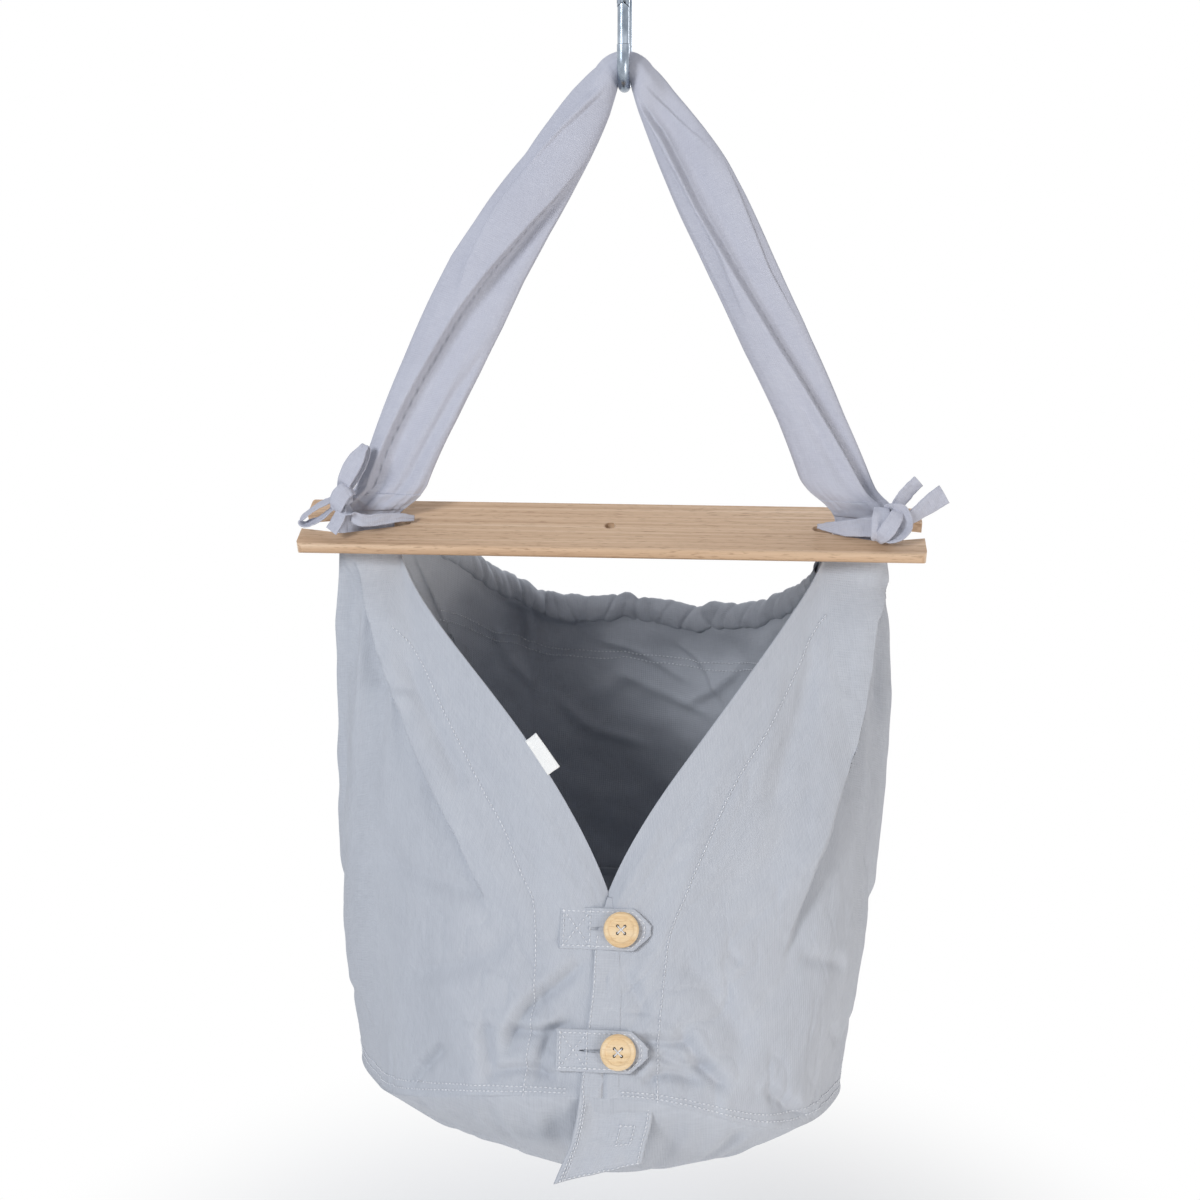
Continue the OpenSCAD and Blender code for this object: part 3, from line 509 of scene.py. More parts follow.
def big_folds(f, t, d):
    """The pleats below the bar, the long drag fold of each front and the gathers below the back rim."""
    side = sind(f) ** 2
    bulge = side * (9 * 4 * t * (1 - t) + CORNER[d] * t * (1 - smooth((t - 0.7) / 0.3)))
    c = np.interp(t, *np.transpose(DRAG[d]))
    pleat = (f + 0.6 * noise(f / 12 + 40, t * 2 + 3, FOLD_SEED) - 87) * 25.2
    fan = 5 * smooth(t / 0.1) * (1 - smooth((t - 0.1) / 0.45)) * smooth((f - c - 3) / 9) \
        * (1 - smooth((f - 100) / 12)) * (np.cos(np.radians(pleat) + 0.5 * sind((f - 87) * 25.2)) - 0.6)
    along = smooth((t - 0.01) / 0.1) * (1 - smooth((t - DRAG_END[d]) / 0.25))
    edge = smooth((c - f) / DRAG_EDGE[d] + 0.5)
    hollow = DRAG_DIP[d] * np.exp(-np.maximum(0, f - c) / 7) * (1 - edge)
    sheet = 11 * smooth((f - c) / 26 + 1) ** 1.5 * edge - hollow
    lean_f = f - 85 * t
    tuck = 4.5 * smooth((lean_f - 95) / 5) * (1 - smooth((lean_f - 114) / 5)) * smooth(t / 0.05) \
        * (1 - smooth((t - 0.12) / 0.22)) * cosd(lean_f * 60)
    gather = 3.4 * smooth((f - 122) / 14) * smooth(t / 0.1) * (1 - smooth((t - 0.1) / 0.55)) \
        * cosd(f * 21.2 + 90 * noise(f / 14, t * 3, FOLD_SEED + 2))
    return bulge + fan + along * sheet + tuck + gather


# How far the cloth's face stands out from the walls' bare surface
FACE = 2.8
# Turns and shares over which a wall is rounded where its front passes into the side
SOFTEN = [(-13, .06), (-9, .12), (-4.5, .2), (0, .24), (4.5, .2), (9, .12), (13, .06)]


def wall(f, t, d):
    """Points on a wall with its big folds."""
    f, t = np.broadcast_arrays(np.asarray(f, float), np.asarray(t, float))
    soft = smooth((f - 40) / 16) * (1 - smooth((f - 82) / 8)) * smooth(t / 0.06)
    p, n = 0, 0
    for turn, share in SOFTEN:
        g = f + turn * soft
        p = p + share * lerp(top_pt(g, d), bot_pt(g, d), t[..., None])
        n = n + share * wall_n(g, t)
    p = p + (big_folds(f, t, d) + FACE * smooth(t / 0.15))[..., None] * n
    return lean(p * (d, 1, 1))


def bottom(f, q, d):
    """Points on the bowl; q is 1 at its seam and 0 at its lowest point."""
    f, q = np.broadcast_arrays(np.asarray(f, float), np.asarray(q, float))
    e = bot_pt(f, d)
    k = 2 - (0.15 if d < 0 else 0.6) * sind(f)
    e = e + FACE * np.stack([sind(f), -cosd(f), 0 * f], -1)
    full = 0.38 * smooth(1 - 1.3 * sind(f))
    rise = lerp(q ** k, 1 - np.sqrt(np.maximum(0, 1 - q * q)), full)
    p = np.stack([e[..., 0] * q, BACK + (e[..., 1] - BACK) * q, -DROP + (e[..., 2] + DROP) * rise], -1)
    return lean(p * (d, 1, 1))


# Sharp creases of each front, as (f, t) paths with width, height and step in mm. CREASE_DEPTH scales the last
# two.
CREASES = {
    -1: [([(3, .36), (8.2, .55), (15.5, .76), (16.8, .9)], 6, -2.6, 1.2),
         ([(4.5, .65), (9, .8), (10.2, .97)], 6, -2.0, 0.8),
         ([(69, .26), (47, .18)], 5, -0.9, 0.4),
         ([(64, .58), (37, .515), (22, .458)], 9, -1.3, 0.5),
         ([(47, .77), (27, .65), (17.5, .49)], 11, -1.8, 0.7),
         ([(23, .77), (18, .99)], 6, -2.2, 0.8),
         ([(58, .14), (44, .21), (33, .29)], 7, -1.2, 0.6),
         ([(6, .7), (10, .76), (19, .8)], 5, -2.0, 0.9),
         ([(5, .93), (12, .9), (20, .93)], 5, -2.0, 0.9),
         ([(30, .86), (38, .93), (44, .99)], 6, -1.8, 0.8)],
    1: [([(6.8, .795), (12.5, .845), (19.8, .85)], 6, -2.6, 1.0),
        ([(12.2, .7), (16.5, .84), (22.8, .92)], 6, -2.6, 1.0),
        ([(24.5, .545), (26.8, .6)], 4, -0.8, 0.3),
        ([(2.8, .4), (5, .54), (7, .67)], 7, -1.6, 0.6),
        ([(13, .44), (21.5, .65), (29, .845)], 12, -1.8, 0.6),
        ([(58, .13), (44.5, .235), (34.8, .36)], 12, -1.6, 0.6),
        ([(3, .72), (8, .76), (15, .775)], 5, -2.0, 0.9),
        ([(4, .93), (9, .88), (17, .9)], 5, -2.2, 0.9),
        ([(30, .9), (38, .95), (46, .99)], 6, -1.8, 0.8),
        ([(40, .635), (60, .74)], 6, -1.2, 0.5),
        ([(52, .82), (59, .885)], 6, -0.9, 0.4)],
}
CREASE_DEPTH = 2.5
# Long folds of each side, which spread from the bar's end
SIDE_CREASES = [([(86, .14), (83, .36), (76, .6)], 8, -2.4, 1.4),
                ([(93, .12), (95, .38), (98, .66)], 9, -2.2, -1.2),
                ([(100, .1), (102, .34), (105, .58)], 6, -2.0, 1.0),
                ([(72, .5), (86, .66), (103, .72)], 9, -2.2, 1.0),
                ([(58, .93), (74, .85), (94, .91)], 7, -2.0, 0.9),
                ([(80, .62), (92, .8), (97, .97)], 8, -2.0, -0.9)]
# Rows of stitches on each front: the facing's edge, a hand's breadth from the neckline and the closing line.
FACING = {
    -1: [(59.2, .115), (47.8, .12), (40, .168), (32.2, .223), (24.8, .268), (19.5, .333), (16, .38),
         (14, .512), (13, .652), (12, .885), (11.4, .995)],
    1: [(60, .085), (51.5, .1), (36.8, .152), (28.8, .185), (20.5, .283), (16.5, .348), (13.2, .413),
        (11.5, .5), (8.8, .708), (7.8, .845), (7, .995)],
}


def spline(points, n):
    """n points along a smooth path through points."""
    p = np.asarray(points, float)
    step = np.diff(p, axis=0) / (p.max(0) - p.min(0) + 1e-9)
    s = np.concatenate([[0], np.cumsum(np.linalg.norm(step, axis=1))])
    w = np.linspace(0, s[-1], n)
    q = np.concatenate([[2 * p[0] - p[1]], p, [2 * p[-1] - p[-2]]])
    i = np.clip(np.searchsorted(s, w, "right") - 1, 0, len(p) - 2)
    x = ((w - s[i]) / (s[i + 1] - s[i]))[:, None]
    a, b, c, e = q[i], q[i + 1], q[i + 2], q[i + 3]
    return 0.5 * (2 * b + (c - a) * x + (2 * a - 5 * b + 4 * c - e) * x ** 2
                  + (3 * b - a - 3 * c + e) * x ** 3)


def ripple(f, t, d, seed):
    """Soft waves and fine wrinkles of hanging cloth, in mm."""
    pull = f + (60 * t if d < 0 else 45 * t)
    long_waves = 1.6 * noise(pull / 11, t * 3.2, seed) + 0.5 * noise(pull / 5, t * 5 + 9, seed + 1)
    cross = 0.7 * noise(f / 9, t * 15, seed + 2) + 0.45 * noise((f - 40 * t) / 4, t * 22, seed + 3)
    fine = 0.16 * noise(f / 1.6, t * 40, seed + 4)
    edge = smooth(t / 0.06) * (1 - 0.7 * smooth((t - 0.93) / 0.07)) * smooth(f / 5)
    bent = noise(f / 20, t * 4, seed + 6)
    crumple = -1.9 * (1 - np.abs(noise(f / 13 + 0.7 * bent, t * 6 - 0.6 * bent, seed + 7))) ** 8 \
        - 1.2 * (1 - np.abs(noise(f / 6 - bent, t * 11 + bent, seed + 8))) ** 8
    cross = cross + crumple * (0.35 + 0.65 * smooth((t - 0.35) / 0.3)) * (1 - 0.85 * smooth((f - 38) / 20))
    pucker = 1.2 * noise(f / 2.6, 2 + t, seed + 5) * smooth((t - 0.86) / 0.12)
    return (long_waves + cross + fine) * edge * smooth((t - 0.02) / 0.1) + pucker * smooth(f / 4)


# The finished walls, by side or name: their f and t, points and normals
walls = {}
CREASE_POINTS = 24
FACING_DENT = (2.6, -0.55)
RIPPLE_SEED = {-1: 100, 1: 200}


def wall_path(points, d, n=CREASE_POINTS, turn=0.0):
    """Points along an (f, t) path on a wall that has no creases yet."""
    f, t = np.transpose(spline(points, n))
    return wall(f + turn, t, d)


def wrap_grid(d):
    """One front and its side, from the closing line round to the back seam."""
    f = np.concatenate([np.linspace(0, F_FRONT, 140), np.linspace(F_FRONT, F_BACK, 110)[1:]])[:, None]
    t = np.linspace(0, 1, 181)[None, :]
    p = wall(f, t, d)
    look = unit(p - MIDDLE)
    n = normals(p, look)
    out = ripple(f, t, d, RIPPLE_SEED[d])
    for path, width, height, step in CREASES[d]:
        out = out + crease(p, n, wall_path(path, d), width, CREASE_DEPTH * height, CREASE_DEPTH * step * d)
    out = out + crease(p, n, wall_path(FACING[d], d, 90), *FACING_DENT)
    for path, width, height, step in SIDE_CREASES:
        out = out + crease(p, n, wall_path(path, d, turn=-2 * d), width, height, step * d)
    f_all = np.broadcast_to(f, out.shape)
    p = p + (out * smooth(f_all / 2 + 0.1) * smooth((F_BACK - f_all) / 5))[..., None] * n
    walls[d] = (f[:, 0], t[0], p, normals(p, look))
    return p, look


def on_wall(d, f, t, lift=0.0):
    """Points on the finished wall."""
    fs, ts, p, n = walls[d]
    x = np.interp(f, fs, np.arange(len(fs)))
    y = np.interp(t, ts, np.arange(len(ts)))
    i, j = np.minimum(x.astype(int), len(fs) - 2), np.minimum(y.astype(int), len(ts) - 2)
    a, b = (x - i)[:, None], (y - j)[:, None]
    spot, up = (lerp(lerp(g[i, j], g[i + 1, j], a), lerp(g[i, j + 1], g[i + 1, j + 1], a), b) for g in (p, n))
    return spot + lift * unit(up)


pieces = {}
stitch_paths = []
STITCH_UP = 0.45
# The column of a front's grid whose length its weave follows
WEAVE_AT = 130
for d, side in SIDES:
    p, look = wrap_grid(d)
    uv = np.stack([np.broadcast_to(runs(p, 0)[:, [WEAVE_AT]], p.shape[:2]), runs(p, 1)], -1)
    pieces[side + "_wrap"] = grid_piece(side + "_wrap", p, look, canvas, uv=uv)
    ft = spline(FACING[d], 400)
    stitch_paths.append(on_wall(d, ft[:, 0], ft[:, 1], STITCH_UP))


# Creases of the back wall, as (turn, t) paths; the turn goes on from 180 at the middle to 248 on the left.
BACK_CREASES = [([(188, .08), (177, .14), (166, .24)], 5, -2.6, 1.2),
                ([(184, .2), (173, .28), (160, .35)], 6, -2.4, 1.0),
                ([(171, .06), (164, .15), (158, .3)], 4, -2.2, 1.0),
                ([(197, .28), (188, .4), (174, .5)], 7, -2.6, 1.0),
                ([(150, .1), (158, .2), (170, .33)], 5, -2.2, -1.0),
                ([(215, .1), (208, .22), (198, .3)], 5, -2.0, 1.0)]
# Where the back turns into the left side
BACK_CORNER = 204.0


def back_wall():
    f = np.linspace(F_BACK, 180, 110)
    t = np.linspace(0, 1, 121)[None, :]
    right, left = wall(f[:, None], t, 1), wall(f[::-1][1:, None], t, -1)
    p = np.concatenate([right, left])
    full = np.concatenate([f, 360 - f[::-1][1:]])[:, None]
    look = unit(p - MIDDLE)
    n = normals(p, look)
    slant = full + 55 * t
    out = 3.0 * noise(slant / 11, t * 4, 301) + 2.0 * noise((full - 60 * t) / 7, t * 7, 302) \
        + 0.9 * noise(full / 4, t * 18, 303) + 0.9 * noise(full / 2.4, 2 + t, 304) * smooth((t - 0.86) / 0.12)
    turn = full - BACK_CORNER + 8 * t
    corner = 15 * np.exp(-np.abs(turn) / 11) * (1 - smooth((t - 0.3) / 0.5))
    pinch = 9 * np.exp(-(turn / 1.3) ** 2) * (1 - smooth((t - 0.08) / 0.16))
    out = out + (corner - pinch) * smooth(t / 0.03)
    for path, width, height, step in BACK_CREASES:
        at, down = np.transpose(spline(path, CREASE_POINTS))
        right, left = wall(np.minimum(at, 180), down, 1), wall(360 - np.maximum(at, 180), down, -1)
        out = out + crease(p, n, np.where((at <= 180)[:, None], right, left), width, height, step)
    out = out * smooth((full - F_BACK) / 5) * smooth((360 - F_BACK - full) / 5) * smooth(t / 0.05)
    out = out * (1 - 0.8 * smooth((t - 0.9) / 0.1))
    p = p + out[..., None] * n
    walls["back"] = (full[:, 0], t[0], p, normals(p, look))
    return grid_piece("back_wall", p, look, canvas)


pieces["back_wall"] = back_wall()


# The bowl's edge goes up inside the walls as a seam allowance, to this t and this far in
ALLOWANCE_T, ALLOWANCE_IN = 0.965, 6


def bowl():
    f = np.linspace(0, 180, 200)
    q = np.sin(np.radians(np.linspace(90, 0, 70)))[:-1]
    right, left = bottom(f[:, None], q[None, :], 1), bottom(f[::-1][1:-1, None], q[None, :], -1)
    p = np.concatenate([right, left]).transpose(1, 0, 2)
    ring = np.concatenate([f, 360 - f[::-1][1:-1]])[None, :]
    qq = q[:, None]
    look = unit(p - BOWL_MIDDLE)
    n = normals(p, look, True)
    turn = np.radians(ring)
    x, y = qq * np.cos(turn), qq * np.sin(turn)
    out = 3.0 * noise(x * 3 + 20, y * 3 + 20, 401) + 1.2 * noise(x * 8 + 30, y * 8 + 30, 402) \
        - 1.8 * (1 - np.abs(noise(x * 4 + 50, y * 4 + 50, 404))) ** 9
    out = out * smooth((1 - qq) / 0.12)
    out = out + 2.6 * smooth((qq - 0.6) / 0.2) * noise(ring / 3.4, qq * 3, 403) * smooth((1 - qq) / 0.05)
    p = p + out[..., None] * n
    up = [wall(g, ALLOWANCE_T, d) - ALLOWANCE_IN * wall_n(g, 0 * g + 1) * (d, 1, 1)
          for g, d in ((f, 1), (f[::-1][1:-1], -1))]
    p = np.concatenate([np.concatenate(up)[None], p])
    return p, np.concatenate([look[:1], look]), bottom(0.0, 0.0, 1)


def bowl_piece():
    p, look, pole = bowl()
    n, m = p.shape[:2]
    quads = cells(n, m, wrap=True)[:, BACKWARDS]
    v = np.concatenate([world(p).reshape(-1, 3), [world(pole)]])
    last = (n - 1) * m
    tip = [(last + j, last + (j + 1) % m, n * m) for j in range(m)]
    faces = [tuple(q) for q in quads] + tip
    if (cell_normals(v, quads) * look.reshape(-1, 3)[quads[:, 0]]).sum() < 0:
        faces = [f[::-1] for f in faces]
    loop_uv = np.array([v[i][:2] for f in faces for i in f])
    return finish_mesh("bottom_bowl", v, faces, canvas, loop_uv, CANVAS_T)


pieces["bottom_bowl"] = bowl_piece()


# Back rim: a puffy casing, gathered by the elastic in it.
RIM_HIGH, RIM_DEEP, RIM_START = 27, 15, 0.083


def rim():
    w = np.linspace(RIM_START, 1, 190)
    ends = [top_back(w, 1), (top_back(w, -1) * (-1, 1, 1))[::-1][1:]]
    p = np.concatenate(ends)
    near = np.concatenate([w, w[::-1][1:]])
    tang = unit(np.gradient(p, axis=0))
    out = unit(np.stack([-tang[:, 1], tang[:, 0], 0 * near], -1))
    out = out * np.sign((out * (p - (0, BACK, 0))).sum(-1))[:, None]
    scale = lerp(0.5, 1, smooth((near - 0.1) / 0.3))
    run = runs(p, 0)[:, None]
    a = np.linspace(0, 360, 57)[:-1][None, :]
    x, y = cosd(a), sind(a)
    puff = 0.2 * noise(run / 15, x * 0.9 + 4, 501) + 0.13 * noise(run / 7, y * 1.2 + 8, 502) \
        + 0.05 * noise(run / 3.4 + x, y + 5, 503)
    rng = np.random.default_rng(504)
    at = 6.0
    while at < run[-1, 0]:
        deep, slant = rng.uniform(0.15, 0.62), rng.uniform(-9, 9)
        puff = puff - deep * np.exp(-np.abs(run - at + slant * x + 2 * y) / rng.uniform(1.8, 4.2))
        at += rng.uniform(9, 24)
    r = 1.12 + puff
    h, th = RIM_HIGH * scale[:, None], RIM_DEEP * scale[:, None]
    q = p[:, None, :] + np.stack([0 * r, 0 * r, h / 2 - 5 - h / 2 * (0.62 + 0.36 * r) * x
                                  + 3.0 * noise(run / 28, 0.5, 505) + 1.4 * noise(run / 11, 0.5, 506)], -1)
    q = q + out[:, None, :] * (1.5 - 2 * (1 + x) / 2 + th / 2 * r * y)[..., None]
    return grid_piece("back_rim", q, q - q.mean(1, keepdims=True), canvas, CASING_T, wrap=True)


pieces["back_rim"] = rim()


# Strap: one gathered length of cloth from slot to slot over the hook. a runs round it, s along a leg.
CROWN_A, CROWN_RC, CROWN_HALF, CROWN_T = 57.0, 16.55, 11.2, 12.4
STRAP_W, STRAP_T = 60.0, 30.0
LEG_TOP = np.array([CROWN_RC * sind(CROWN_A), STRAP_DROP + CROWN_RC * cosd(CROWN_A)])
LEG = np.array([LEG_TOP, LEG_TOP + (140 * cosd(CROWN_A), -140 * sind(CROWN_A)),
                [NECK_X - 26, NECK_Z + 124], [NECK_X, NECK_Z]])


def leg_sizes(s):
    c = bez(LEG, s)
    neck = smooth((40 - c[..., 1]) / 30)
    spread = np.clip(s / 0.3, 0, 1)
    half = lerp(lerp(CROWN_HALF, STRAP_W / 2, spread * (2 - spread)), NECK_HALF, neck)
    deep = lerp(lerp(CROWN_T, STRAP_T / 2, smooth(s / 0.35)), NECK_T, neck)
    return c, (90 - CROWN_A) * (1 - smooth(s * 1.05)), half, deep, neck


# Lines where one fold of a leg laps over the next, from the hook to the tie: (along, across) points with
# across 0 at the outer edge and 1 at the inner, then how far the upper fold stands out, how deep the lower
# one lies, and which side is the upper one (1 outer, -1 inner).
LAPS = {
    -1: [([(.1, 1.0), (.15, .98), (.28, .77), (.49, .45), (.64, .315), (.77, .226), (.89, .164), (1, .16)],
          2.8, 9.5, 1),
         ([(.01, .5), (.1, .28), (.19, .17), (.3, .15), (.42, .26), (.5, .36)], 1.6, 2.8, -1),
         ([(.01, .75), (.07, .5), (.13, .33), (.2, .22), (.26, .1)], 1.5, 2.4, 1)],
    1: [([(.01, .95), (.12, .71), (.27, .684), (.45, .56), (.62, .4), (.8, .22), (.92, .12), (1, .1)],
         2.8, 9.5, -1),
        ([(.02, 1.0), (.09, .86), (.2, .78), (.36, .72), (.52, .8)], 1.4, 2.6, 1),
        ([(.01, .6), (.08, .33), (.16, .12), (.22, .04)], 1.5, 2.4, -1),
        ([(.2, .02), (.3, .06), (.42, .1), (.55, .02)], 1.4, 2.4, -1)],
}
# Soft hollows between the folds, with their depth and width.
HOLLOWS = {
    -1: [([(.5, .98), (.67, .86), (.82, .75), (.93, .55), (.99, .2)], 5.5, 6.5),
         ([(.3, .6), (.5, .62), (.7, .5)], -1.4, 14)],
    1: [([(.55, .62), (.75, .5), (.9, .3), (.98, .14)], 3.8, 7), ([(.3, .4), (.5, .3), (.7, .2)], -1.2, 12)],
}
# How far each leg hangs to the right of the straight line, as (along, mm) points
SWAY = {-1: [(0, 0), (.2, 1.8), (.3, -1.5), (.4, -3), (.5, .5), (.6, 2.9), (.7, 3.6), (.85, 3), (1, 0)],
        1: [(0, 0), (.2, -1.6), (.4, -3.6), (.55, -2.7), (.75, 3.5), (.88, 7), (1, 0)]}
# How much wider each half of a leg is than its solid, as (along, mm) points
WIDER = {-1: [(0, 0), (.06, 1), (.13, -1.0), (.2, -2.3), (.3, .3), (.4, 3), (.5, 4), (.7, 3), (.9, 0),
              (1, 0)],
         1: [(0, 0), (.2, -1.2), (.7, -1.2), (.87, 2), (.95, 1), (1, 0)]}


def beside(s, a, path, half):
    """A line's places along a leg, where it lies across the leg, and how far each point is from it, in mm."""
    at, over = np.transpose(path)
    place = np.interp(s, at, over)
    line = -np.degrees(np.arccos(np.clip(1 - 2 * place, -1, 1)))
    turn = (a + 180) % 360 - 180
    return at, place, np.radians((turn - line + 180) % 360 - 180) * half


def leg_lines(s, a, side, half):
    """How far the folds of a leg stand out, in mm."""
    out = 0 * s
    for path, high, low, upper in LAPS[side]:
        at, place, off = beside(s, a, path, half)
        off = off * upper
        fade = smooth((s - at[0]) / 0.06) * smooth((at[-1] - s) / 0.12 + (at[-1] >= 1))
        fade = fade * smooth(place / 0.12 + 0.3) * smooth((1 - place) / 0.3 + 0.1)
        side_up = high * np.exp(-np.abs(off) / 12) * smooth(off / 1.4)
        dip = np.abs(off) / 13
        side_down = -low * (0.5 + 1.1 * dip * np.exp(1 - dip)) * np.exp(-np.abs(off) / 45) \
            * smooth(-off / 1.2)
        out = out + fade * (side_up + side_down - 0.7 * low * np.exp(-(off / 1.4) ** 2))
    for path, depth, width in HOLLOWS[side]:
        at, place, off = beside(s, a, path, half)
        fade = smooth((s - at[0]) / 0.15) * smooth((at[-1] - s) / 0.15)
        out = out - fade * depth * np.exp(-(off / width) ** 2)
    return out


# The tie draws the foot of each leg in towards its knot, from this height down and over this length.
KNOT = {side: node_middle(word + "_tie_knot") for side, word in SIDES}
PINCH_TOP = {-1: (30.0, 28.0), 1: (50.0, 42.0)}


def crown_lobes(a):
    return 1 + 0.05 * (cosd(5 * a) - 1) * smooth((cosd(a) + 0.2) / 0.6)


def leg_section(s, a, side, more=0.0):
    """Points of a leg's section: broad folds, and laps that wander from the inner side to the outer one."""
    s, a = np.broadcast_arrays(np.asarray(s, float), np.asarray(a, float))
    c, g, half, deep, neck = leg_sizes(s)
    grow = smooth(s / 0.3) * (1 - 0.85 * neck)
    behind = smooth(sind(a) + 0.2)
    r = 1 + grow * (0.035 * cosd(3 * a - 260 * s + 70 * side) + 0.09 * behind * cosd(5 * a - 430 * s)
                    + 0.015 * noise(a / 11 + 50 * side + 100, s * 5, 601))
    r = lerp(crown_lobes(a), r, smooth(s / 0.12))
    r = r + smooth((s - 0.8) / 0.1) * (0.025 * cosd(13 * a + 60 * sind(5 * a)) + 0.015 * cosd(29 * a))
    taper = lerp(1.0, 0.12 + 0.44 * (1 + cosd(a)), neck)
    lines = leg_lines(s, a, side, half) * (1 - 0.8 * neck) + more
    reach = (half * r + 0.4 * lines + np.interp(s, *np.transpose(WIDER[side]))) * cosd(a)
    x = lerp(c[..., 0], NECK_X, neck) + reach * cosd(g)
    shift = -BAR[0] * (1 - smooth(s / 0.86)) + np.interp(s, *np.transpose(SWAY[side]))
    z = c[..., 1] + reach * sind(g)
    drawn = smooth((PINCH_TOP[side][0] - z) / PINCH_TOP[side][1]) * smooth((z + 14) / 14)
    outer = NECK_X + NECK_HALF
    x = outer - (outer - x) * (1 - 0.24 * drawn)
    inward, up = abs(KNOT[side][0]) - x, z - KNOT[side][2]
    away = np.hypot(inward, up)
    fan = 2.4 * np.exp(-away / 34) * smooth(away / 8) * smooth(-1.6 * sind(a)) \
        * cosd(9 * np.degrees(np.arctan2(up, inward)) + 60 * side)
    return np.stack([side * x + shift, (deep * r * taper + lines + fan) * sind(a), z], -1)


def strap():
    a = np.linspace(0, 360, 157)[:-1][None, :]
    s = np.concatenate([np.linspace(0, 0.1, 16)[1:], np.linspace(0.1, 1, 122)[1:]])[:, None]
    turn = np.linspace(-CROWN_A, CROWN_A, 27)[:, None]
    lobe = crown_lobes(a)
    reach = CROWN_RC + CROWN_HALF * lobe * cosd(a)
    crown = np.stack([reach * sind(turn) - BAR[0], CROWN_T * lobe * sind(a) + 0 * turn,
                      STRAP_DROP + reach * cosd(turn)], -1)
    p = np.concatenate([leg_section(s, a, -1)[::-1], crown, leg_section(s, a, 1)])
    return grid_piece("hanging_strap", p, p - p.mean(1, keepdims=True), strap_cloth, STRAP_CLOTH_T, wrap=True)


pieces["hanging_strap"] = strap()


# Front fastening, on the plane of the closing line: x to the right, d down the line, o out of the cloth.
CLOSE_A = np.array([9.0, -150.0, -273.0])
CLOSE_B = np.array([9.0, -215.0, -424.0])
CLOSE_LEN = float(np.linalg.norm(CLOSE_B - CLOSE_A))
CLOSE_U = (CLOSE_B - CLOSE_A) / CLOSE_LEN
CLOSE_N = np.array([0, CLOSE_U[2], -CLOSE_U[1]])
UP_AT, PITCH = 30.0, 98.0
BUTTON_X, TAB_LEN, TAB_W = 12.0, 75.0, 34.0
TAB_LEFT = -TAB_LEN + BUTTON_X + 24
BUTTONS = (("upper", UP_AT), ("lower", UP_AT + PITCH))
# Rows of a front's grid that lie near the closing line
NEAR_ROWS = 45


def on_front(x, d, o):
    """Points from the closing line's own measures. Below the seam they hang straight down."""
    x, d, o = np.broadcast_arrays(*(np.asarray(v, float) for v in (x, d, o)))
    down, below = np.minimum(d, CLOSE_LEN), np.maximum(0, d - CLOSE_LEN)
    k = smooth(below / 4)[..., None]
    way = lerp(CLOSE_N, np.array([0, -1.0, 0]), k)
    p = CLOSE_A + down[..., None] * CLOSE_U + o[..., None] * way
    return p + np.stack([x, 0 * x, -below], -1)


def stand(x, d, side):
    """How far a finished front stands out of the closing plane at (x, d)."""
    p = walls[side][2][:NEAR_ROWS].reshape(-1, 3) - CLOSE_A
    px, pd, po = p[:, 0], p @ CLOSE_U, p @ CLOSE_N
    x, d = np.broadcast_arrays(np.asarray(x, float), np.asarray(d, float))
    got = [po[np.argmin((px - a) ** 2 + (pd - b) ** 2)] for a, b in zip(x.ravel(), d.ravel())]
    return np.array(got).reshape(x.shape)


# The flap's outline: places down the closing line, and its left and right edges there. Its end hangs free.
FLAP_TOP, FLAP_FREE = 4, 79
FLAP_D = [FLAP_TOP, 40, 80] + [CLOSE_LEN + e for e in (-7, -1, 1, 22, 42, FLAP_FREE)]
FLAP_LEFT = [-0.5, -9.5, -11, -18.5, -19, -19, -22, -26, -40]
FLAP_RIGHT = [3, 10, 13, 13, 42, 42, 40, 37, 33]


def flap():
    d = np.concatenate([np.linspace(FLAP_TOP, CLOSE_LEN, 70),
                        np.linspace(CLOSE_LEN, CLOSE_LEN + FLAP_FREE, 40)[1:]])[:, None]
    v = np.linspace(0, 1, 34)[None, :]
    left, right = np.interp(d, FLAP_D, FLAP_LEFT), np.interp(d, FLAP_D, FLAP_RIGHT)
    x = lerp(left, right, v)
    up = 19 * v * smooth((d - CLOSE_LEN - 20) / 59)
    free = smooth((d - CLOSE_LEN + 2) / 8)
    sewn = stand(right[:, 0], np.minimum(d[:, 0], CLOSE_LEN), 1)[:, None] + 0.25
    edge = np.maximum(stand(left[:, 0], np.minimum(d[:, 0], CLOSE_LEN), -1)[:, None], 0) + 1.9
    o = lerp(edge, sewn, smooth(v * (right - left) / np.maximum(6, np.minimum(right - left, 22))))
    o = o + free * (0.9 + 2.2 * noise(x / 26 + 9, d / 30, 701) + 0.8 * noise(x / 9, d / 18, 702)
                    + 3.5 * smooth((d - CLOSE_LEN - 30) / 50) * (1 - v))
    return on_front(x, d - up, o)


flap_p = flap()
pieces["placket_flap"] = grid_piece("placket_flap", flap_p, np.array([0, -1.0, 0]), canvas, FLAP_T)

CLOTH_TOP, TAB_T, TAB_HEM, TAB_BOX = 4.0, 2.0, 3.0, 22


def tab_dip(x):
    """How far a tab's sewn end lies below the rest of it."""
    return 1.2 * (1 - smooth((x - TAB_LEFT - 16) / 14))


